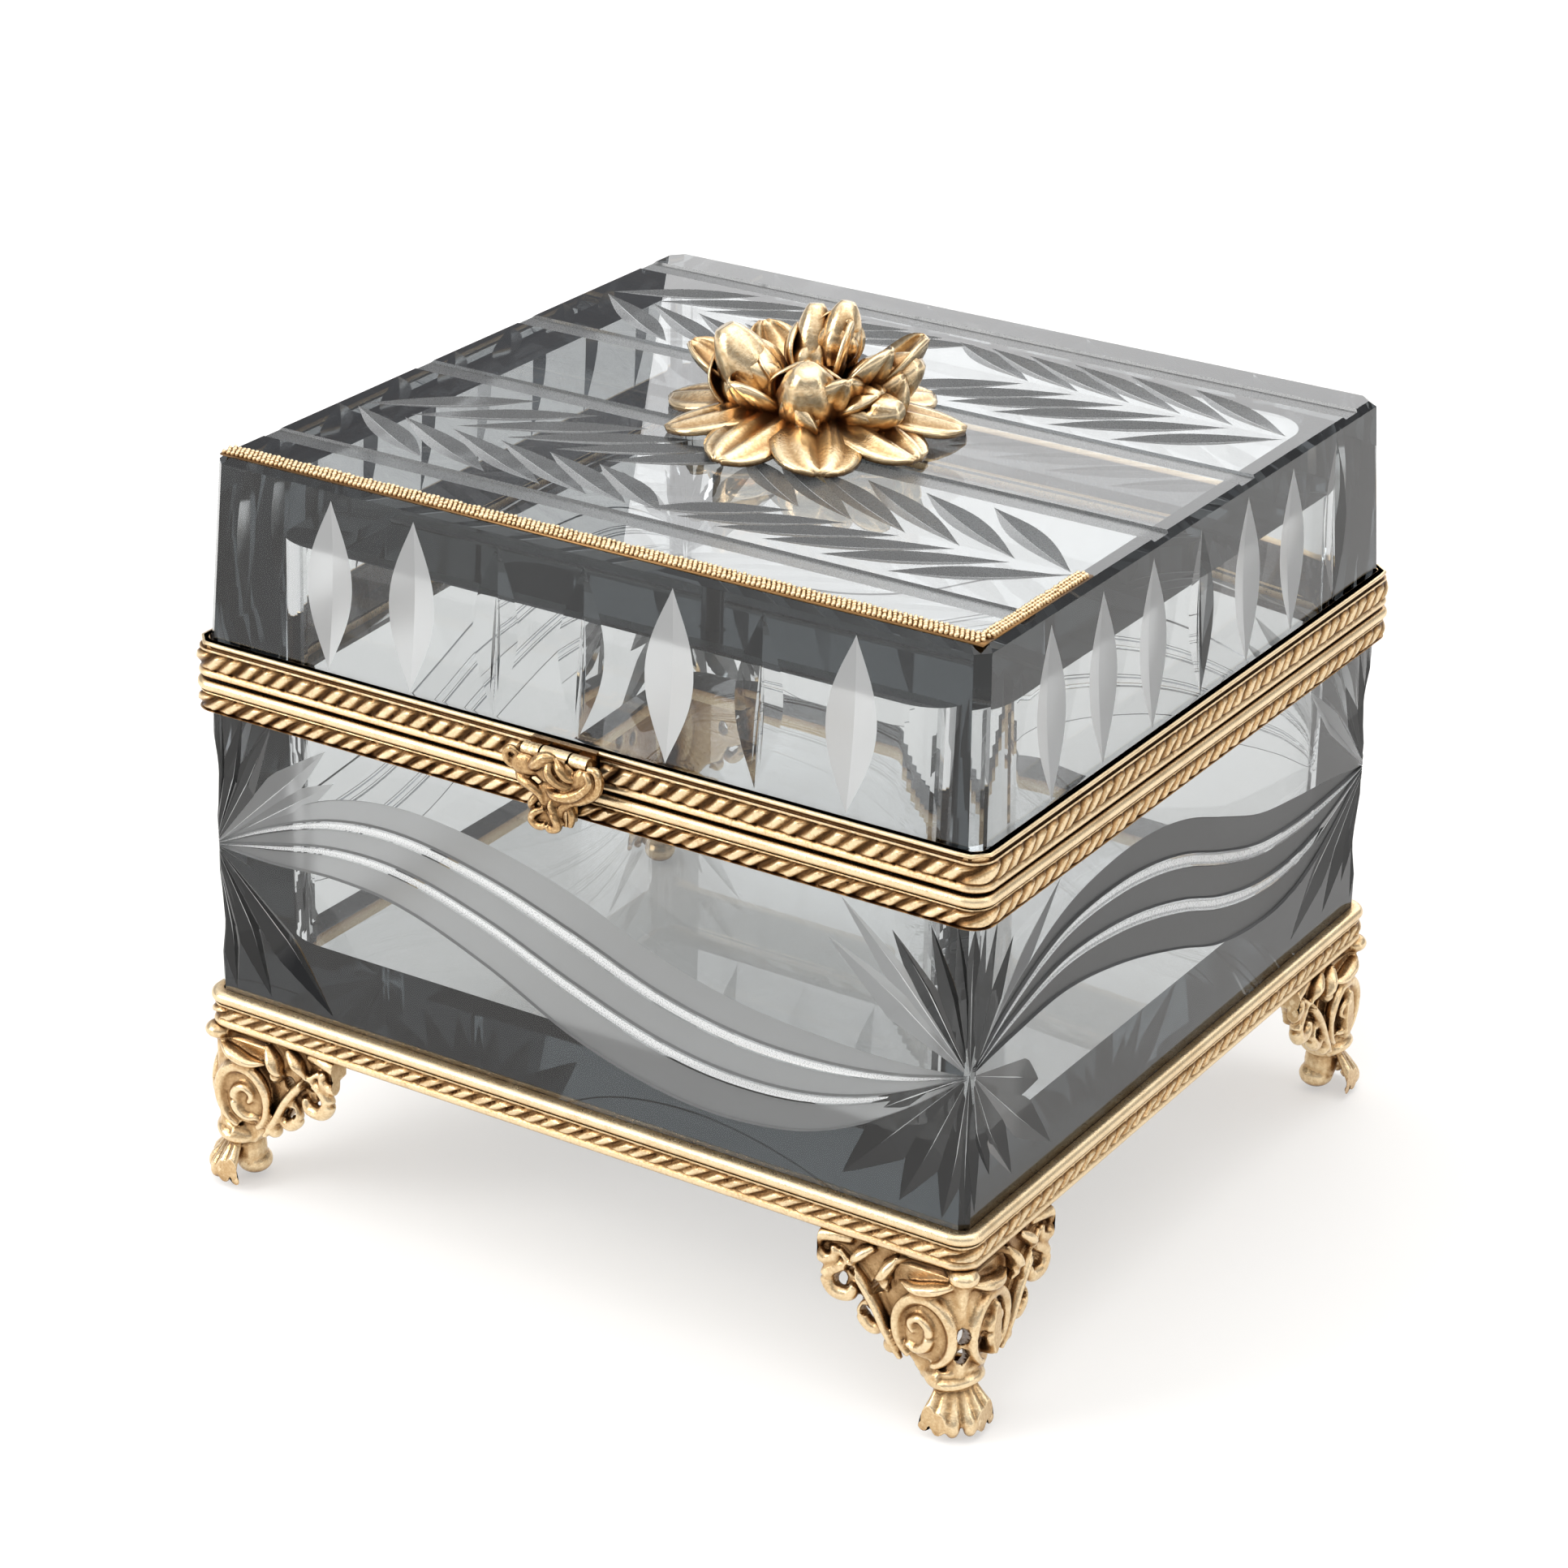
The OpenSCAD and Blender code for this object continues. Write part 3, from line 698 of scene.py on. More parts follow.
def lid_side_cuts(faces):
    cutters = []
    pitch = 12.2 * MM
    low = lid_rim_hi.z + 0.3 * MM
    high = lid_hi.z - 1.9 * MM
    for name, face in faces.items():
        seen = name in ("front", "right")
        for i, kind in enumerate(LID_CUTS[name]):
            u = (i - 3) * pitch + 0.9 * MM
            start, end = (u, low - face.origin.z), (u, high - face.origin.z)
            if kind == FROST:
                surface = PALE if seen else THIN
                cutters.append(leaf_cut(face, start, end, 6.7 * MM, 0.6 * MM, surface, 0.5, 20))
                continue
            surface = FACET if seen else THIN
            cutters.append(leaf_cut(face, start, end, 6.5 * MM, 0.34 * MM, surface, 0.5, 20))
            if seen:
                for side in (-1, 1):
                    foot = (u + side * 0.55 * MM, start[1] + 2 * MM)
                    tip = (u + side * 0.1 * MM, end[1] - 3 * MM)
                    cutters.append(leaf_cut(face, foot, tip, 1.0 * MM, 0.5 * MM, FACET, 0.45, 16))
                # A centre line, whitened as painted highlight
                foot = (u, start[1] + 1 * MM)
                tip = (u, (start[1] + end[1]) / 2)
                cutters.append(leaf_cut(face, foot, tip, 0.4 * MM, 0.55 * MM, LINE, 0.5, 12))
    return cutters


def frond_cuts(face, middle, reach_up, reach_down, half):
    """Two palm fronds on the lid's top that start at opposite edges and meet under the flower."""
    cutters = []
    for side in (-1, 1):
        root = side * (half - 3.5 * MM)
        count = 6
        for i in range(count):
            t = i / count
            stem = root - side * t * (half - 10 * MM)
            for lift, reach in ((1, reach_up), (-1, reach_down)):
                run = (15 + 5 * math.sin(math.pi * (i + 1) / count)) * MM
                start = (stem, middle + lift * 0.6 * MM)
                end = (stem - side * run, middle + lift * reach * (0.96 - 0.02 * i))
                cutters.append(leaf_cut(face, start, end, 4.2 * MM, 0.5 * MM, SHEER, 0.55, 14))
                # Each frond's centre line is whitened as painted highlight
                cutters.append(leaf_cut(face, start, end, 0.5 * MM, 0.62 * MM, LINE, 0.5, 10))
    return cutters


def build_lid_crystal():
    gap = GLASS_GAP
    taper_x, taper_y, edge = 1.1 * MM, 1.5 * MM, 0.8 * MM
    corner = 1.5 * MM
    half_x, half_y = half_w - gap, half_d - gap
    levels = ((lid_lo.z + gap, 0, 0), (lid_rim_hi.z, 0, 0),
              (lid_hi.z - edge, taper_x, taper_y), (lid_hi.z, taper_x + edge, taper_y + edge))
    rings = [[(x, y, z) for x, y in chamfered_plan(half_x - dx, half_y - dy, corner)]
             for z, dx, dy in levels]
    piece = crystal_block("cut_lid", *loft(rings))
    well = rounded_plan(half_w - WALL, half_d - WALL, 6 * MM, 16)
    cutters = [cutter_from(*prism(well, lid_lo.z - 1 * MM, CEILING_Z))]
    stud_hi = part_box("finial_stud")[1]
    hole = rounded_plan(stud_hi.x + gap, stud_hi.y + gap, stud_hi.x + gap, 8)
    cutters.append(cutter_from(*prism(hole, CEILING_Z - 1 * MM, lid_hi.z + 1 * MM)))

    # The sides lean in, so each is cut on its own sloping plane
    rise = lid_hi.z - edge - lid_rim_hi.z
    faces = {}
    for name, (nx, ny) in (("front", (0, -1)), ("right", (1, 0)), ("back", (0, 1)), ("left", (-1, 0))):
        lean = taper_x if nx else taper_y
        reach = half_x if nx else half_y
        up = Vector((-nx * lean, -ny * lean, rise)).normalized()
        across = Vector((-ny, nx, 0))
        faces[name] = Face((nx * reach, ny * reach, lid_rim_hi.z), across, up, across.cross(up))
    cutters += lid_side_cuts(faces)

    top = Face((0, 0, lid_hi.z), (1, 0, 0), (0, 1, 0), (0, 0, 1))
    top_half = half_x - taper_x
    for v, width in ((-39.6, 3.6), (-8.6, 3.9), (13.8, 3.9), (42.6, 3.8)):
        cutters.append(groove(top, straight((-top_half - 2 * MM, v * MM), (top_half + 2 * MM, v * MM), 2),
                              lambda t, w=width: w * MM, lambda t: 0.3 * MM, SHEER, bottom=0.86))
    cutters += frond_cuts(top, -25.5 * MM, 14.2 * MM, 11.3 * MM, top_half)
    cutters += frond_cuts(top, 29.5 * MM, 10.5 * MM, 13.2 * MM, top_half)
    carve(piece, cutters)
    dress_crystal(piece)
    mount(piece, "lid_glass", "lid")


# ---------------------------------------------------------------- gilt bands

def outline_walk():
    """The crystal's rounded outline from the middle of the back, as straight and round stretches."""
    run_x, run_y = half_w - CORNER_R, half_d - CORNER_R
    arc = 0.5 * math.pi * CORNER_R
    return [
        ("line", run_x, (0, half_d), (-1, 0), (0, 1)),
        ("arc", arc, (-run_x, run_y), 90, None),
        ("line", 2 * run_y, (-half_w, run_y), (0, -1), (-1, 0)),
        ("arc", arc, (-run_x, -run_y), 180, None),
        ("line", 2 * run_x, (-run_x, -half_d), (1, 0), (0, -1)),
        ("arc", arc, (run_x, -run_y), 270, None),
        ("line", 2 * run_y, (half_w, -run_y), (0, 1), (1, 0)),
        ("arc", arc, (run_x, run_y), 0, None),
        ("line", run_x, (run_x, half_d), (-1, 0), (0, 1)),
    ]


WALK = outline_walk()
AROUND = sum(stretch[1] for stretch in WALK)
BACK_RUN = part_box("hinge_leaf_body")[1].x + 0.3 * MM
CLASP_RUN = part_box("clasp_bracket")[1].x + 0.3 * MM


def outline_at(s):
    """Point on the outline and its outward normal, at the distance s from the middle of the back."""
    s = s % AROUND
    for kind, length, start, turn, normal in WALK:
        if s <= length + 1e-12:
            break
        s -= length
    if kind == "line":
        return Vector((start[0] + turn[0] * s, start[1] + turn[1] * s)), Vector(normal)
    a = math.radians(turn + 90 * s / length)
    out = Vector((math.cos(a), math.sin(a)))
    return Vector(start) + CORNER_R * out, out


def band_strip(spans, step, section):
    """A moulding along spans of the outline. section(s) gives (outward, height, proud) points in order."""
    parts = []
    proud = []
    for start, end in spans:
        closed = end - start >= AROUND - 1e-9
        count = max(3, round((end - start) / step))
        rings = []
        for i in range(count if closed else count + 1):
            s = start + (end - start) * i / count
            point, out = outline_at(s)
            points = section(s)
            rings.append([(point.x + out.x * o, point.y + out.y * o, z) for o, z, high in points])
            proud += [high for o, z, high in points]
        parts.append(loft(rings, closed=closed))
    return parts, proud


def set_proud(piece, values):
    layer = piece.data.attributes.new("proud", "FLOAT", "POINT")
    layer.data.foreach_set("value", np.array(values, np.float32))


def gadroon_band(name, node, body, spans, z_low, z_high, pitch, lean, sill, gap_lift):
    """Slanted flat lobes with gaps between them, over a plain sill that takes up the given share of the
    height.
    The gaps get low "proud" values, which darken their colour as painted shade. The last argument is how far
    the gaps are raised and lightened, which takes some of that painted shade away."""
    count = round(AROUND / pitch)
    pitch = AROUND / count
    rows = 18
    height = z_high - z_low
    fillet = 0.10

    def section(s):
        points = [(0.02 * MM, z_low, 0.3), (SHEET, z_low, 0.4)]
        for i in range(rows + 1):
            t = i / rows
            z = z_low + height * t
            if t < sill:
                edge = t / sill
                out = 0.30 + 0.42 * math.sin(math.pi * (0.12 + 0.82 * edge))
                high = 0.55 + 0.45 * math.sin(math.pi * edge) ** 0.5
            elif t > 1 - fillet:
                edge = (1 - t) / fillet
                out = 0.45 * math.sin(math.pi * min(1.0, 0.25 + edge * 0.75)) + 0.12
                high = 0.95 - 0.6 * edge ** 3
            else:
                mid = (t - sill) / (1 - sill - fillet)
                rib = math.floor(s / pitch - lean * mid)
                wobble = 0.06 * math.sin(rib * 2.4)
                phase = (s / pitch - lean * mid + wobble) % 1.0
                lobe = min(1.0, 1.2 * math.sin(math.pi * phase ** 1.15))
                ends = min(1.0, 1.6 * math.sin(math.pi * (0.03 + 0.94 * mid)) ** 0.9)
                dent = 0.14 * math.sin(rib * 5.1 + 5 * mid) * math.sin(3 * math.pi * phase + rib)
                out = 0.10 + 0.5 * gap_lift + (0.80 - 0.5 * gap_lift) * lobe * ends + dent * lobe
                # high becomes the "proud" value: low in the gaps, where it darkens the colour as painted
                # shade
                high = gap_lift + (1 - gap_lift) * (lobe * ends) ** 1.6
            points.append((SHEET + RELIEF * max(0.04, min(out, 0.99)), z, high))
        points += [(SHEET, z_high, 0.4), (0.02 * MM, z_high, 0.3)]
        return points

    mount_strip(name, node, body, *band_strip(spans, pitch / 14, section))


def slim_fillet(name, node, body, spans, z_low, z_high):
    """Bright fine edge along the top of the lid's band, over a sunk line: its "proud" values lighten the
    edge as painted highlight and darken the sunk line as painted shade.
    """
    height = z_high - z_low

    def section(s):
        points = [(0.02 * MM, z_low, 0.2), (SHEET, z_low, 0.2)]
        for t, out, high in ((0.02, 0.06, 0.15), (0.36, 0.08, 0.15), (0.42, 0.30, 0.7), (0.56, 0.42, 1.0),
                             (0.80, 0.42, 1.0), (0.98, 0.32, 1.0)):
            points.append((SHEET + RELIEF * out, z_low + height * t, high))
        points += [(SHEET, z_high, 1.0), (0.02 * MM, z_high, 0.9)]
        return points

    mount_strip(name, node, body, *band_strip(spans, 1.5 * MM, section))


def mount_strip(name, node, body, parts, proud):
    piece = join_meshes(name, parts)
    set_proud(piece, proud)
    piece.data.shade_smooth()
    piece.data.set_sharp_from_angle(angle=math.radians(60))
    mount(piece, node, body, GILT_RELIEF)


def build_bands():
    whole = [(0.0, AROUND)]
    past_hinge = [(BACK_RUN, AROUND - BACK_RUN)]
    front = AROUND / 2
    past_clasp = [(BACK_RUN, front - CLASP_RUN), (front + CLASP_RUN, AROUND - BACK_RUN)]
    for name, node, body, spans, lean, sill, gap_lift in (
            ("gadroon_base", "base_gadroon", "base", whole, 1.15, 0.34, 0.22),
            ("gadroon_rim", "body_rim_gadroon", "base", past_hinge, 1.05, 0.10, 0.12),
            ("gadroon_lid", "lid_rim_gadroon", "lid", past_clasp, 0.95, 0.26, 0.05)):
        lo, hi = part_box(node)
        gadroon_band(name, node, body, spans, lo.z, hi.z, 2.62 * MM, lean, sill, gap_lift)
    lo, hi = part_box("lid_rim_fillet")
    slim_fillet("fine_fillet", "lid_rim_fillet", "lid", [(BACK_RUN, AROUND - BACK_RUN)], lo.z, hi.z)
    for node in ("base_frame", "body_rim_channel", "lid_rim_channel", "base_bead", "body_rim_bead",
                 "hinge_leaf_body", "hinge_leaf_lid", "finial_washer", "finial_nut"):
        paint(node, GILT)
    paint("clasp_bracket", GILT_CLASP)
    for node in ("hinge_pin", "clasp_pin", "catch_stud", "foot_screws", "finial_stud"):
        paint(node, PIN)


def paint(node, material):
    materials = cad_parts[node].data.materials
    if len(materials) == 0:
        materials.append(material)
    for i in range(len(materials)):
        materials[i] = material


# ---------------------------------------------------------------- feet

def plate(points, back, front, to_world):
    """A flat plate from an outline of (along, up), between two depths. to_world takes (a, b, z)."""
    return loft([[to_world((a, b, z)) for a, z in points] for b in (back, front)])


# Outline of a foot's wing, in mm along the side from the corner and up
WING = ((0.6, 22.6), (-18.8, 22.6), (-19.6, 20.6), (-17.9, 18.6), (-17.2, 16.4), (-14.4, 15.2),
        (-11.9, 13.9), (-10.6, 11.6), (-8.0, 10.2), (-6.2, 8.0), (-5.0, 6.4), (0.6, 6.4))


def foot_parts(to_world):
    """One cast foot in its own axes: a and b run outward along the two sides from the crystal's corner,
    z is up. to_world places a point given in millimetres."""
    parts = []

    def on_both(points):
        return (points, [(q[1], q[0], q[2]) for q in points])

    def bar(points, radii, flat=1.0, up=(0, 0, 1), mirrored=True):
        for line in on_both(points) if mirrored else (points,):
            parts.append(tube([to_world(p) for p in line], [r * MM for r in radii], 10, 5, flat, up))

    def blob(centre, radii, mirrored=True):
        for p in on_both([centre]) if mirrored else ([centre],):
            parts.append(ellipsoid(to_world(p[0]), [r * MM for r in radii]))

    # Pierced wings
    parts.append(plate(WING, -1.5, 0.25, to_world))
    parts.append(plate(WING, -1.5, 0.25, lambda q: to_world((q[1], q[0], q[2]))))

    # Scalloped edge: three loops and a bead down to the ankle
    bar([(-14.6, 0.4, 22.1), (-17.2, 0.7, 22.0), (-19.2, 0.7, 21.4), (-19.7, 0.7, 19.6), (-18.3, 0.7, 18.6),
         (-16.9, 0.7, 19.4), (-17.3, 0.7, 20.6)], [0.6, 0.8, 0.95, 0.95, 0.85, 0.7, 0.5])
    bar([(-14.4, 0.6, 19.0), (-16.4, 0.7, 18.0), (-17.9, 0.8, 16.6), (-16.9, 0.8, 14.8), (-14.8, 0.8, 14.8),
         (-14.1, 0.8, 16.2)], [0.6, 0.8, 1.0, 1.05, 0.9, 0.6])
    bar([(-10.9, 0.6, 15.4), (-12.3, 0.7, 14.4), (-12.9, 0.8, 12.7), (-11.4, 0.8, 11.4), (-9.8, 0.8, 12.2)],
        [0.6, 0.75, 0.9, 0.9, 0.6])
    blob((-8.9, 0.7, 9.9), (1.1, 1.1, 1.1))

    # Medallion on each face of the knee: a raised rim, a low dome and a scroll on it
    rim = [(-4.3 + 3.9 * math.cos(a), 1.3, 13.4 + 4.5 * math.sin(a))
           for a in (math.radians(15 * k) for k in range(-5, 17))]
    bar(rim, [0.4 + 0.45 * math.sin(math.pi * k / 21) for k in range(22)])
    blob((-4.3, 0.7, 13.4), (3.5, 0.95, 4.1))
    bar([(-6.6, 1.5, 11.2), (-5.0, 1.7, 11.0), (-3.5, 1.8, 12.2), (-3.4, 1.8, 14.3), (-4.8, 1.8, 15.3),
         (-6.1, 1.7, 14.3), (-5.4, 1.8, 13.2)], [0.3, 0.55, 0.7, 0.65, 0.55, 0.45, 0.3])

    # Leaves that hang from the band toward the knee, and a stem down from the wing's tip
    bar([(-0.8, 0.9, 20.4), (-3.0, 1.3, 19.6), (-5.6, 1.4, 19.0), (-8.0, 1.0, 19.2)],
        [0.5, 1.3, 1.1, 0.3], 0.6)
    bar([(-8.2, 0.7, 21.9), (-9.6, 1.2, 20.2), (-10.0, 1.2, 18.4), (-9.4, 0.9, 17.0)],
        [0.7, 1.4, 1.2, 0.4], 0.6)
    bar([(-11.6, 0.6, 22.2), (-13.4, 1.1, 20.8), (-14.4, 1.0, 19.2)], [0.8, 1.3, 0.5], 0.6)
    bar([(-16.4, 0.7, 20.4), (-13.6, 0.9, 17.8), (-11.2, 1.0, 14.8), (-9.4, 1.1, 11.6), (-7.4, 1.2, 8.6)],
        [0.4, 0.9, 0.95, 0.85, 0.5], 0.7)

    # Knee over the corner
    blob((-2.2, -2.2, 15.4), (3.7, 3.7, 6.6), mirrored=False)
    blob((-1.6, -1.6, 11.0), (2.3, 2.3, 4.6), mirrored=False)
    blob((0.1, 0.1, 21.7), (1.9, 1.9, 1.2), mirrored=False)

    # Collar of two wrapped leaves
    for z, reach, thick in ((8.5, 2.6, 0.5), (7.2, 3.0, 0.75)):
        ring = [(-1.9 + reach * math.cos(a), -1.9 + reach * math.sin(a), z + 0.35 * math.sin(2 * a + 1.2))
                for a in (math.radians(24 * k) for k in range(16))]
        bar(ring, [thick] * len(ring), mirrored=False)
    bar([(0.9, -2.0, 7.7), (0.2, -3.9, 7.3), (-1.6, -5.3, 6.9)], [0.8, 0.75, 0.35])

    # Toe of six flutes that flare outward and part in the middle
    for k in (-2.5, -1.5, -0.5, 0.5, 1.5, 2.5):
        points = []
        for z, wide, ahead, back in ((7.0, 0.62, -0.9, 0.1), (5.6, 0.80, -0.2, 0.12), (4.0, 1.12, 0.8, 0.16),
                                     (2.5, 1.46, 1.7, 0.2), (1.4, 1.62, 1.8, 0.22), (0.9, 1.5, 0.9, 0.22)):
            across = 1.06 * k * wide + math.copysign(0.25 * (7.0 - z) / 7.0, k)
            out = ahead - back * k * k + 0.4
            points.append((0.707 * (out + across) - 0.6, 0.707 * (out - across) - 0.6, z + 0.12 * abs(k)))
        bar(points, [0.42, 0.52, 0.70, 0.88, 0.84, 0.5], mirrored=False)
    blob((-2.2, -2.2, 4.2), (2.3, 2.3, 3.6), mirrored=False)
    blob((-2.6, -2.6, 2.2), (2.4, 2.4, 1.8), mirrored=False)
    return parts


# Round piercings of a wing: (along, up, radius)
PIERCINGS = ((-11.2, 17.0, 0.8), (-14.6, 18.0, 0.85), (-12.4, 13.6, 0.6), (-16.2, 16.4, 0.7))


def hole_along(to_world, start, end, radius, tall=1.25):
    """Cutter for a round hole between two points of a foot's own axes."""
    start, end = Vector(start), Vector(end)
    across = (end - start).cross(Vector((0, 0, 1))).normalized()
    circle = [across * (radius * math.cos(a)) + Vector((0, 0, tall * radius * math.sin(a)))
              for a in round_angles(16)]
    return add_object("cutter", *loft([[to_world(middle + p) for p in circle] for middle in (start, end)]))


def foot_holes(to_world):
    holes = []
    for along, up, r in PIERCINGS:
        holes.append(hole_along(to_world, (along, -6, up), (along, 4, up), r))
        holes.append(hole_along(to_world, (-6, along, up), (4, along, up), r))
    # Hollow back of the knee, two holes through to it, and the slot under the band
    holes.append(add_object("cutter", *loft([[to_world((p[0], p[1], z)) for p in ring] for z, ring in (
        (7.9, ((-9, -9), (-2.3, -9), (-1.5, -1.5), (-9, -2.3))),
        (18.5, ((-9, -9), (-2.3, -9), (-0.9, -0.9), (-9, -2.3))))])))
    for z in (13.6, 10.9):
        holes.append(hole_along(to_world, (-5, -5, z - 3.2), (4, 4, z + 2.6), 0.85))
    for swap in (False, True):
        ring = [(-8.4, 20.9), (-1.6, 20.9), (-1.6, 22.1), (-8.4, 21.9)]
        rings = [[to_world((b, a, z) if swap else (a, b, z)) for a, z in ring] for b in (-0.5, 4.0)]
        holes.append(add_object("cutter", *loft(rings)))
    return holes


def build_feet():
    for node in ("foot_front_right", "foot_front_left", "foot_back_right", "foot_back_left"):
        lo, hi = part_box(node)
        sx = 1 if lo.x + hi.x > 0 else -1
        sy = 1 if lo.y + hi.y > 0 else -1

        def to_world(p, sx=sx, sy=sy):
            return (sx * (half_w + p[0] * MM), sy * (half_d + p[1] * MM), p[2] * MM)

        piece = join_meshes("cast_" + node, foot_parts(to_world))
        fuse(piece, 0.25 * MM)
        carve(piece, foot_holes(to_world))
        piece.data.materials.clear()
        soften(piece, 3)
        hold_inside(piece, (lo.x, lo.y, 0.0), (hi.x, hi.y, base_lo.z))
        mount(piece, node, "base", GILT_CAST)


# ---------------------------------------------------------------- finial

def petal(base, direction, up, length, width, cup, curl, thick, twist=0.0, tip=1.0):
    """A leaf or petal as a thin closed shell. cup bows it across, curl bends its end up, and tip
    above 1 moves its widest part outward."""
    direction = Vector(direction).normalized()
    up = Vector(up).normalized()
    side = direction.cross(up).normalized()
    up = side.cross(direction).normalized()
    rows, cols = 16, 10
    outer, inner = [], []
    for i in range(rows + 1):
        t = i / rows
        swell = abs(2 * (0.07 + 0.93 * t ** tip) - 1)
        half = 0.5 * width * max(0.04, 1 - swell ** 2.3) ** 0.55
        angle = curl * t * t
        along = length * (math.sin(angle) / angle * t if abs(angle) > 1e-4 else t)
        rise = length * ((1 - math.cos(angle)) / angle * t if abs(angle) > 1e-4 else 0.0)
        normal = up * math.cos(angle) - direction * math.sin(angle)
        for j in range(cols + 1):
            v = 2 * j / cols - 1
            bow = cup * half * (v * v) - 0.10 * half * math.cos(3 * math.pi * v) * (1 - v * v)
            roll = twist * t
            s = side * math.cos(roll) + normal * math.sin(roll)
            n = normal * math.cos(roll) - side * math.sin(roll)
            p = Vector(base) + direction * along + up * rise + s * (half * v) + n * bow
            outer.append(p + n * thick * 0.5)
            inner.append(p - n * thick * 0.5)
    verts = outer + inner
    start = len(outer)
    stride = cols + 1
    faces = []
    for i in range(rows):
        for j in range(cols):
            a, b = i * stride + j, i * stride + j + 1
            c, d = b + stride, a + stride
            faces.append([a, b, c, d])
            faces.append([start + d, start + c, start + b, start + a])
    rim = ([j for j in range(cols)] + [i * stride + cols for i in range(rows)]
           + [rows * stride + j for j in range(cols, 0, -1)] + [i * stride for i in range(rows, 0, -1)])
    for k, a in enumerate(rim):
        b = rim[(k + 1) % len(rim)]
        faces.append([b, a, start + a, start + b])
    return [tuple(v) for v in verts], faces


def bud(base, direction, length, radius, seam, sepals=3):
    """A polished closed bud inside cupped petals that wrap its lower part."""
    direction = Vector(direction).normalized()
    side = direction.orthogonal().normalized()
    other = direction.cross(side)
    rows, sides = 20, 36
    rings = []
    for i in range(1, rows):
        t = i / rows
        r = 0.84 * radius * math.sin(math.pi * t ** 0.9) ** 0.55
        ring = []
        for k in range(sides):
            a = 2 * math.pi * k / sides
            crease = 1 - 0.10 * math.exp(-((a - 1.2 - 1.1 * t) / 0.16) ** 2)
            ring.append(tuple(Vector(base) + direction * (length * t)
                              + (side * math.cos(a) + other * math.sin(a)) * r * crease))
        rings.append(ring)
    parts = [loft(rings)]
    for k in range(sepals):
        a = 2 * math.pi * k / sepals + seam
        out = side * math.cos(a) + other * math.sin(a)
        foot = Vector(base) + out * radius * 0.45
        lean = (direction + out * (0.56 + 0.06 * math.sin(2.6 * k + seam))).normalized()
        tall = length * (0.71 + 0.10 * math.sin(1.9 * k + seam))
        parts.append(petal(foot, lean, -out, tall, radius * 2.15, 0.44, 0.90, 0.6 * MM, 0.1, 1.1))
    return parts


def from_polar(heading, lean):
    a, b = math.radians(heading), math.radians(lean)
    return Vector((math.sin(b) * math.cos(a), math.sin(b) * math.sin(a), math.cos(b)))


# Buds, in degrees and mm: heading, lean from upright, how far out and up they start, length, radius
BUDS = (
    (206, 30, 4.8, 1.6, 13.0, 4.3), (-62, 28, 4.2, 1.6, 10.4, 4.5), (118, 12, 3.4, 3.2, 11.6, 3.2),
    (74, 14, 3.8, 7.0, 8.6, 2.9), (-10, 72, 5.0, 2.5, 10.4, 3.3), (26, 50, 4.8, 2.2, 11.6, 3.9),
)
# Standing petals: heading, lean, out, up, length, width, curl
STANDING = (
    (40, 20, 2.2, 3.4, 10.4, 5.0, 0.2), (4, 50, 4.2, 2.4, 11.6, 8.8, 0.5),
    (34, 60, 4.6, 2.2, 13.4, 9.4, 0.5), (150, 62, 4.6, 2.2, 11.6, 8.0, 0.4),
    (186, 80, 5.0, 2.6, 13.4, 8.8, 0.5), (96, 40, 3.6, 2.4, 10.4, 7.4, 0.5),
    (240, 64, 5.0, 1.8, 8.6, 8.0, 0.5), (-34, 58, 4.8, 2.0, 9.4, 7.4, 0.7),
)


def build_finial():
    top = lid_hi.z
    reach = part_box("finial_leaves")[1].x
    parts = []
    count = 9
    for k in range(count):
        heading = 360 * k / count - 15
        out = from_polar(heading, 90)
        length = reach * (0.99 + 0.05 * math.sin(2.7 * k)) - 2.6 * MM
        start = Vector((0, 0, top + 3.7 * MM)) + out * 2.6 * MM
        width = (10.6 + 0.9 * math.sin(1.7 * k)) * MM
        droop = out + Vector((0, 0, -0.10))
        parts.append(petal(start, droop, (0, 0, 1), length, width, -0.16, -0.16, 0.7 * MM,
                           0.14 * math.sin(1.9 * k), 1.3))
    parts.append(ellipsoid((0, 0, top + 1.2 * MM), (6 * MM, 6 * MM, 1.4 * MM)))
    leaves = join_meshes("cast_leaves", parts)
    leaves.data.shade_smooth()
    hold_inside(leaves, (cad_lo.x, cad_lo.y, top), cad_hi)

    parts = []
    for i, (heading, lean, out, up, length, radius) in enumerate(BUDS):
        base = Vector((0, 0, top + up * MM)) + from_polar(heading, 90) * (out * MM)
        parts += bud(base, from_polar(heading, lean), length * MM, radius * MM, 1.3 * i)
    for heading, lean, out, up, length, width, curl in STANDING:
        base = Vector((0, 0, top + up * MM)) + from_polar(heading, 90) * (out * MM)
        inward = from_polar(heading + 180, 90 - lean)
        parts.append(petal(base, from_polar(heading, lean), inward, length * MM, width * MM, 0.5, curl,
                           0.55 * MM))
    parts.append(ellipsoid((0, 0, top + 3 * MM), (5.2 * MM, 5.2 * MM, 3 * MM)))
    buds = join_meshes("cast_buds", parts)
    buds.data.shade_smooth()
    hold_inside(buds, (cad_lo.x, cad_lo.y, top + 0.9 * MM), cad_hi)

    for piece, node in ((leaves, "finial_leaves"), (buds, "finial_buds")):
        mount(piece, node, "lid", GILT_FLOWER)


# ---------------------------------------------------------------- clasp and braid

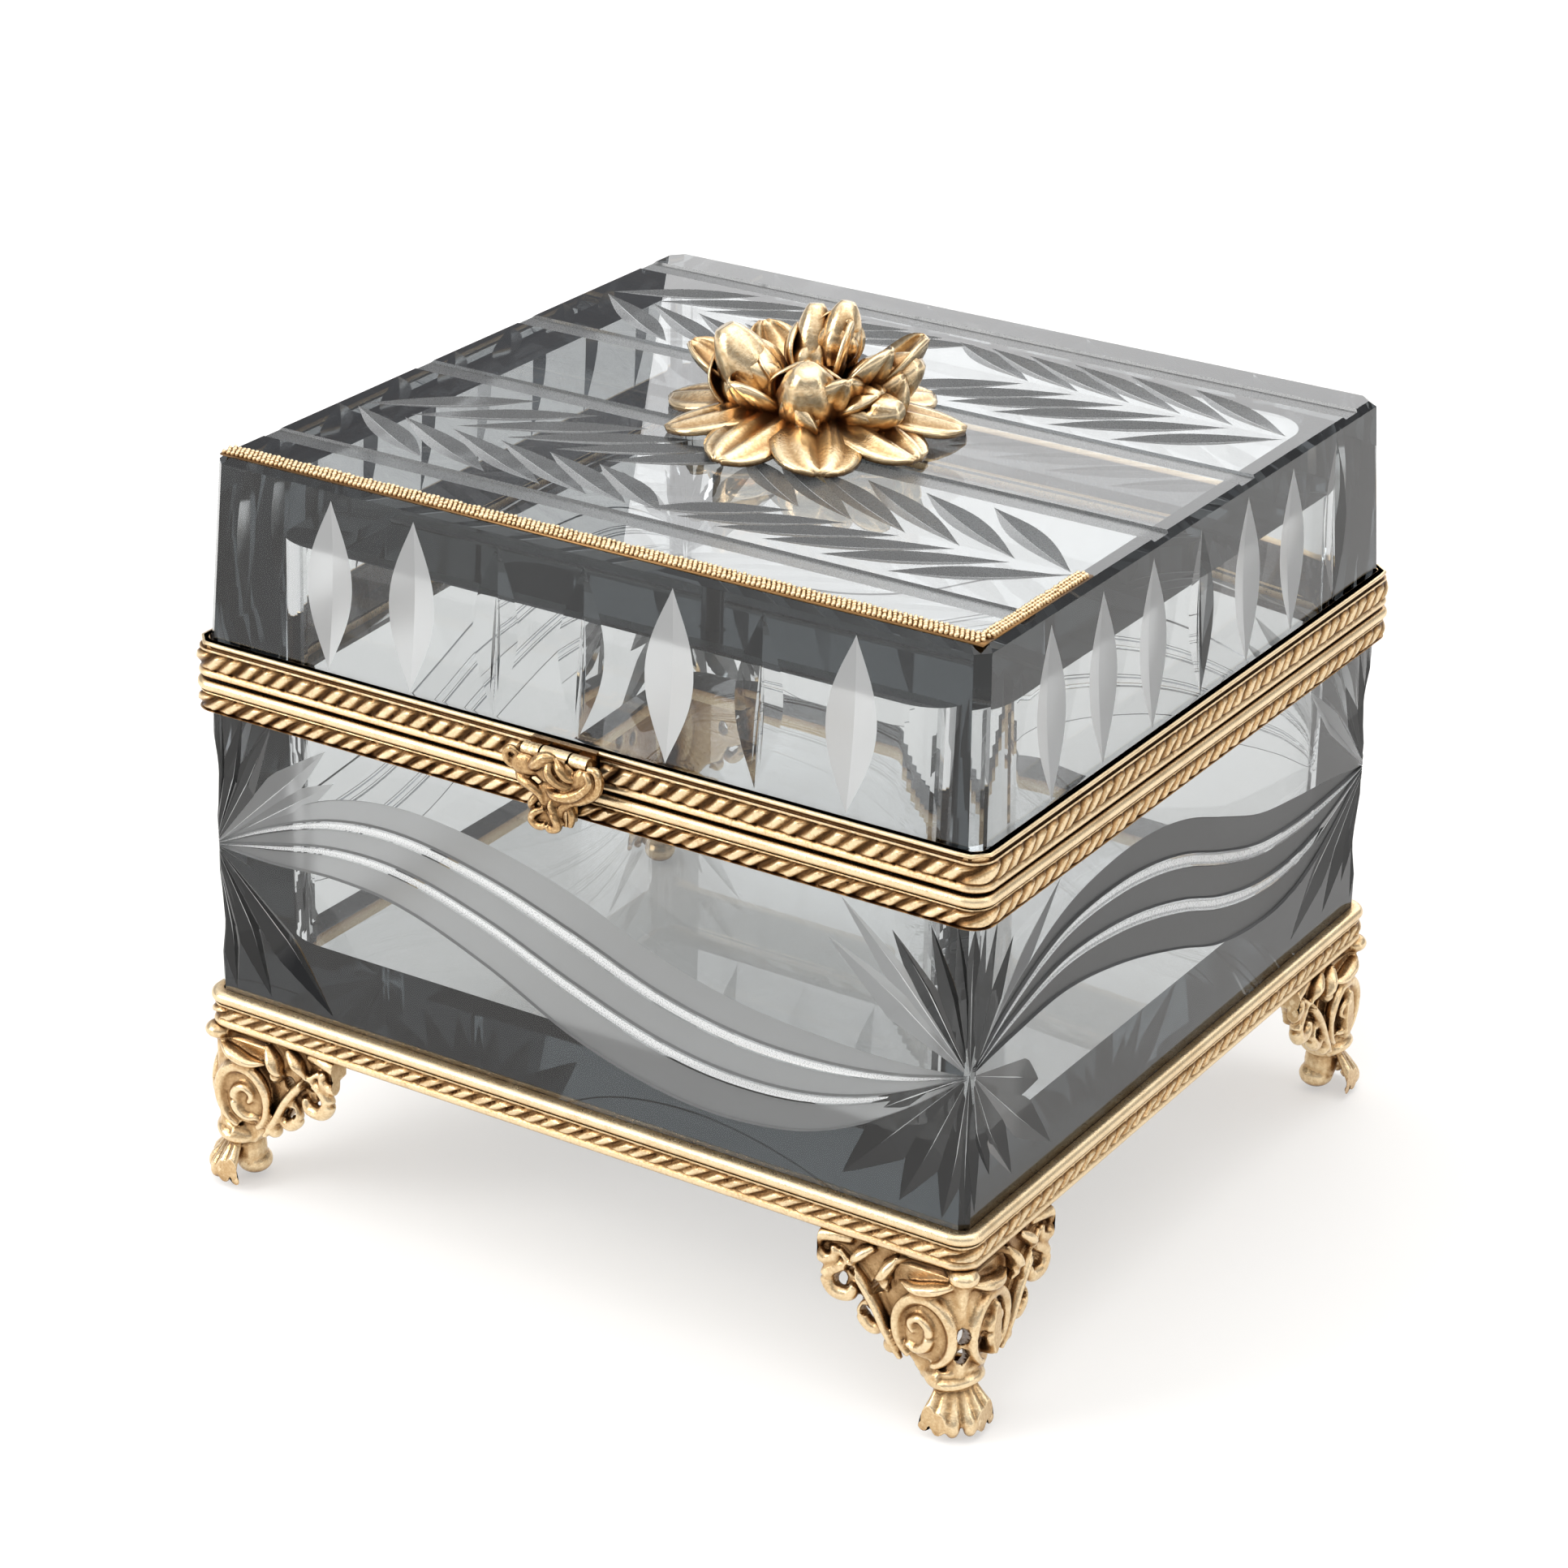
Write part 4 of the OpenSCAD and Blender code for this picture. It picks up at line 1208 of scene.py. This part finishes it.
# Straps of the clasp: points in mm across, above its foot and proud of its plate, then the radii
CLASP_STRAPS = (
    (((-3.4, 7.6, 0.3), (-4.9, 7.0, 0.5), (-6.2, 7.3, 0.6), (-6.5, 8.5, 0.7), (-5.7, 9.1, 0.8),
      (-4.8, 8.5, 0.6)), (0.35, 0.5, 0.55, 0.55, 0.5, 0.35)),
    (((-3.2, 7.2, 0.5), (-2.0, 8.2, 1.0), (-0.8, 9.1, 0.9), (0.3, 9.2, 0.5)), (0.45, 0.9, 0.85, 0.4)),
    (((-0.3, 9.2, 0.7), (0.0, 7.6, 1.3), (0.9, 6.6, 1.2), (2.2, 6.1, 0.9), (3.4, 6.3, 0.6)),
     (0.4, 0.75, 0.7, 0.6, 0.3)),
    (((0.5, 9.2, 0.6), (1.4, 8.3, 1.1), (2.4, 7.3, 1.0), (3.8, 7.1, 0.6)), (0.4, 0.7, 0.6, 0.3)),
    (((-0.6, 5.1, 0.8), (1.0, 4.9, 1.3), (2.9, 5.2, 1.3), (4.5, 6.2, 1.1), (5.4, 7.4, 0.9), (4.8, 8.3, 0.7),
      (3.9, 7.9, 0.6)), (0.4, 0.7, 0.75, 0.65, 0.55, 0.5, 0.35)),
    (((4.9, 9.0, 0.5), (6.1, 8.8, 0.5), (6.5, 7.5, 0.5), (5.9, 6.0, 0.5), (4.3, 4.9, 0.6), (2.6, 4.2, 0.7),
      (1.4, 3.2, 0.8), (1.2, 1.8, 0.7)), (0.4, 0.55, 0.6, 0.6, 0.6, 0.6, 0.6, 0.45)),
    (((-5.2, 6.4, 0.4), (-4.2, 5.6, 0.8), (-2.8, 5.2, 1.0), (-1.6, 4.4, 0.9), (-1.0, 3.2, 0.8)),
     (0.35, 0.65, 0.7, 0.6, 0.5)),
    (((-2.0, 4.2, 0.6), (-2.7, 3.0, 0.9), (-3.1, 1.9, 0.6)), (0.5, 0.6, 0.3)),
    (((0.4, 4.3, 0.7), (0.2, 3.3, 1.1), (0.9, 2.2, 1.1), (1.7, 1.2, 0.8)), (0.5, 0.6, 0.55, 0.4)),
    (((2.2, 3.6, 0.4), (2.7, 2.4, 0.6), (2.4, 1.0, 0.5)), (0.45, 0.55, 0.4)),
    (((-0.9, 2.6, 1.0), (-2.1, 2.0, 1.4), (-2.5, 0.9, 1.2), (-1.5, 0.4, 1.2), (-0.4, 0.8, 1.3)),
     (0.4, 0.55, 0.6, 0.6, 0.45)),
    (((-0.3, 2.6, 1.0), (0.8, 2.0, 1.4), (1.1, 0.9, 1.2), (0.2, 0.4, 1.2), (-0.4, 0.8, 1.3)),
     (0.4, 0.55, 0.6, 0.6, 0.45)),
)


def build_clasp():
    lo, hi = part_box("clasp_hasp")
    plane = lo.y + 1.3 * MM
    parts = []
    for points, radii in CLASP_STRAPS:
        line = [(x * MM, plane + (0.9 - proud) * MM, lo.z + z * MM) for x, z, proud in points]
        parts.append(tube(line, [r * MM for r in radii], 10, 6, 1.0, (0, -1, 0)))
    for x, z, rx, rz in ((-3.9, 7.4, 2.3, 1.5), (0.2, 7.4, 3.2, 1.9), (4.3, 6.9, 2.0, 1.9),
                         (0.0, 4.2, 2.4, 2.2), (-0.6, 1.6, 2.2, 1.5)):
        parts.append(ellipsoid((x * MM, plane + 0.35 * MM, lo.z + z * MM), (rx * MM, 0.75 * MM, rz * MM)))
    piece = join_meshes("cast_clasp", parts)
    fuse(piece, 0.12 * MM)
    soften(piece, 2)
    hold_inside(piece, lo, (hi.x, plane + 1.3 * MM, hi.z))
    piece.data.materials.append(GILT_CLASP)
    back = clasp_back(hi)
    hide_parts("clasp_hasp")
    for part in (piece, back):
        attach(part, "clasp")


def clasp_back(hi):
    """Knuckle and web behind the ornament, and the grooved pad that closes over the stud."""
    pin_lo, pin_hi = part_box("clasp_pin")
    stud_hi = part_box("catch_stud")[1]
    axis_y, axis_z = (pin_lo.y + pin_hi.y) / 2, (pin_lo.z + pin_hi.z) / 2
    half = 1.9 * MM
    knuckle = [[(x, axis_y + 0.95 * MM * math.cos(a), axis_z + 0.95 * MM * math.sin(a))
                for a in round_angles(24)] for x in (-half, half)]
    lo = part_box("clasp_hasp")[0]
    front = lo.y + 1.3 * MM
    web = prism([(-half, front), (half, front), (half, axis_y), (-half, axis_y)],
                axis_z - 0.5 * MM, axis_z + 0.4 * MM)
    pad_lo, pad_hi = lo.z + 1.0 * MM, lo.z + 4.8 * MM
    parts = [loft(knuckle), web]
    pad_back = hi.y if hi.y < stud_hi.y else stud_hi.y - 0.3 * MM
    for side in (-1, 1):
        xs = sorted((side * 0.9 * MM, side * 2.2 * MM))
        pad = [(xs[0], front), (xs[1], front), (xs[1], pad_back), (xs[0], pad_back)]
        parts.append(prism(pad, pad_lo, pad_hi))
    piece = join_meshes("clasp_back", parts)
    piece.data.materials.append(GILT)
    return piece


def build_braid():
    """Four rows of fine gold beads on a narrow strip, and three rows on the short return."""
    lo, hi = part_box("lid_braid")
    row_step = 0.6 * MM
    front_w, side_w = 2.5 * MM, 1.8 * MM
    strip_top = lo.z + 0.25 * MM
    parts = [
        prism([(lo.x, lo.y), (hi.x, lo.y), (hi.x, lo.y + front_w), (lo.x, lo.y + front_w)], lo.z, strip_top),
        prism([(hi.x - side_w, lo.y + front_w), (hi.x, lo.y + front_w), (hi.x, hi.y), (hi.x - side_w, hi.y)],
              lo.z, strip_top),
    ]
    # The strip gets a low "proud" value and each bead one that grows with its height, so the colour is dark
    # between the beads and light on their tops: painted shade and highlight
    proud = [0.1] * sum(len(verts) for verts, faces in parts)

    def bead(x, y):
        r = random.uniform(0.30, 0.40) * MM
        height = random.uniform(0.22, 0.40) * MM
        verts, faces = ellipsoid((x, y, lo.z + height), (r, 0.9 * r, 0.46 * MM), rows=6, sides=8)
        parts.append((verts, faces))
        proud.extend([min(1.0, max(0.0, (v[2] - strip_top) / (0.5 * MM))) for v in verts])

    pitch = 0.66 * MM
    for row in range(4):
        for i in range(int((hi.x - lo.x) / pitch)):
            x = lo.x + (i + 0.5 + 0.5 * (row % 2)) * pitch
            if x < hi.x - 0.4 * MM:
                bead(x, lo.y + 0.38 * MM + row * row_step)
    for row in range(3):
        for i in range(int((hi.y - lo.y - front_w) / pitch)):
            y = lo.y + front_w + (i + 0.5 + 0.5 * (row % 2)) * pitch
            if y < hi.y - 0.4 * MM:
                bead(hi.x - 0.38 * MM - row * 0.52 * MM, y)
    piece = join_meshes("bead_braid", parts)
    set_proud(piece, proud)
    piece.data.shade_smooth()
    mount(piece, "lid_braid", "lid", BRAID)


# ---------------------------------------------------------------- studio

def build_camera():
    aim = Vector((-0.0007, -0.0038, 0.0518))
    distance = 0.5423
    azimuth, elevation, roll = math.radians(31.92), math.radians(24.53), math.radians(1.0)
    back = Vector((math.sin(azimuth) * math.cos(elevation), -math.cos(azimuth) * math.cos(elevation),
                   math.sin(elevation)))
    right = Vector((math.cos(azimuth), math.sin(azimuth), 0))
    up = back.cross(right)
    x_axis = math.cos(roll) * right + math.sin(roll) * up
    y_axis = -math.sin(roll) * right + math.cos(roll) * up
    data = bpy.data.cameras.new("camera")
    data.lens = 97.44
    data.sensor_width = 36
    data.clip_start = 0.01
    data.clip_end = 50
    camera = bpy.data.objects.new("camera", data)
    turn = Matrix((x_axis, y_axis, back)).transposed().to_4x4()
    camera.matrix_world = Matrix.Translation(aim + back * distance) @ turn
    bpy.context.scene.collection.objects.link(camera)
    bpy.context.scene.camera = camera


def build_floor():
    size = 6.0
    floor = add_object("floor", [(-size, -size, 0), (size, -size, 0), (size, size, 0), (-size, size, 0)],
                       [(0, 1, 2, 3)])
    look = Look("pale_floor")
    look.dress({
        "Base Color": look.ramp(look.noise(3.0, 2.0), [(0.3, (0.50, 0.497, 0.492)),
                                                       (0.7, (0.52, 0.517, 0.512))]),
        "Emission Color": (1.0, 0.985, 0.965, 1),
        "Emission Strength": 0.45,
        "Roughness": 0.75,
        "Specular IOR Level": 0.2,
    })
    floor.data.materials.append(look.material)


def build_world():
    """Pale where it is looked at straight, an even dome for matt surfaces, and a studio with dark and
    bright zones for whatever reflects or refracts."""
    world = bpy.data.worlds.new("studio")
    bpy.context.scene.world = world
    world.use_nodes = True
    tree = Tree(world.node_tree)
    path = tree.add("LightPath").outputs
    away = tree.add("TexCoord").outputs["Generated"]
    height = tree.add("SeparateXYZ", {0: away}).outputs["Z"]

    def background(colour, strength):
        return tree.add("Background", {"Color": colour, "Strength": strength}).outputs[0]

    def choose(test, no, yes):
        return tree.add("MixShader", {0: test, 1: no, 2: yes}).outputs[0]

    mirrored = background(tree.ramp(height, [
        (0.0, (0.92, 0.92, 0.93)), (0.07, (0.42, 0.43, 0.45)), (0.36, (0.20, 0.205, 0.22)),
        (0.60, (0.90, 0.91, 0.93)), (1.0, (1.0, 1.0, 1.0))]), 1.36)
    toward_key = tree.add("VectorMath", {0: away, 1: (-0.62, -0.78, 0.1)}, operation="DOT_PRODUCT")
    side = tree.spread(toward_key.outputs["Value"], 0.0, 1.0, -0.8, 0.8)
    dome = background(tree.ramp(side, [(0.0, (0.16, 0.16, 0.165)), (1.0, (1.0, 0.995, 0.985))]), 1.75)
    seen = background(tree.ramp(height, [(0.0, (0.97, 0.97, 0.97)), (1.0, (0.98, 0.98, 0.98))]), 1.0)
    surface = choose(path["Is Camera Ray"], choose(path["Is Diffuse Ray"], mirrored, dome), seen)
    tree.add("OutputWorld", {"Surface": surface})


def softbox(name, place, aim, width, height, power, colour=(1, 1, 1)):
    data = bpy.data.lights.new(name, "AREA")
    data.shape = "RECTANGLE"
    data.size = width
    data.size_y = height
    data.energy = power
    data.color = colour
    lamp = bpy.data.objects.new(name, data)
    lamp.location = place
    lamp.rotation_euler = (Vector(aim) - Vector(place)).to_track_quat("-Z", "Y").to_euler()
    bpy.context.scene.collection.objects.link(lamp)


def build_lights():
    middle = (0, 0, 0.05)
    softbox("top", (0.1, 0.1, 1.1), middle, 1.2, 1.2, 5)
    softbox("left", (-0.75, -0.85, 0.6), middle, 0.5, 0.8, 7)
    softbox("right", (0.95, 0.1, 0.5), middle, 0.15, 0.8, 1.0)
    softbox("back", (-0.2, 1.0, 0.5), middle, 0.9, 0.35, 2)
    cycles = bpy.context.scene.cycles
    cycles.max_bounces = 20
    cycles.transmission_bounces = 18
    cycles.glossy_bounces = 6
    cycles.sample_clamp_indirect = 6.0
    bpy.context.scene.view_settings.view_transform = "Standard"


build_camera()
build_world()
build_lights()
build_floor()
build_body_crystal()
build_lid_crystal()
build_bands()
build_feet()
build_finial()
build_clasp()
build_braid()
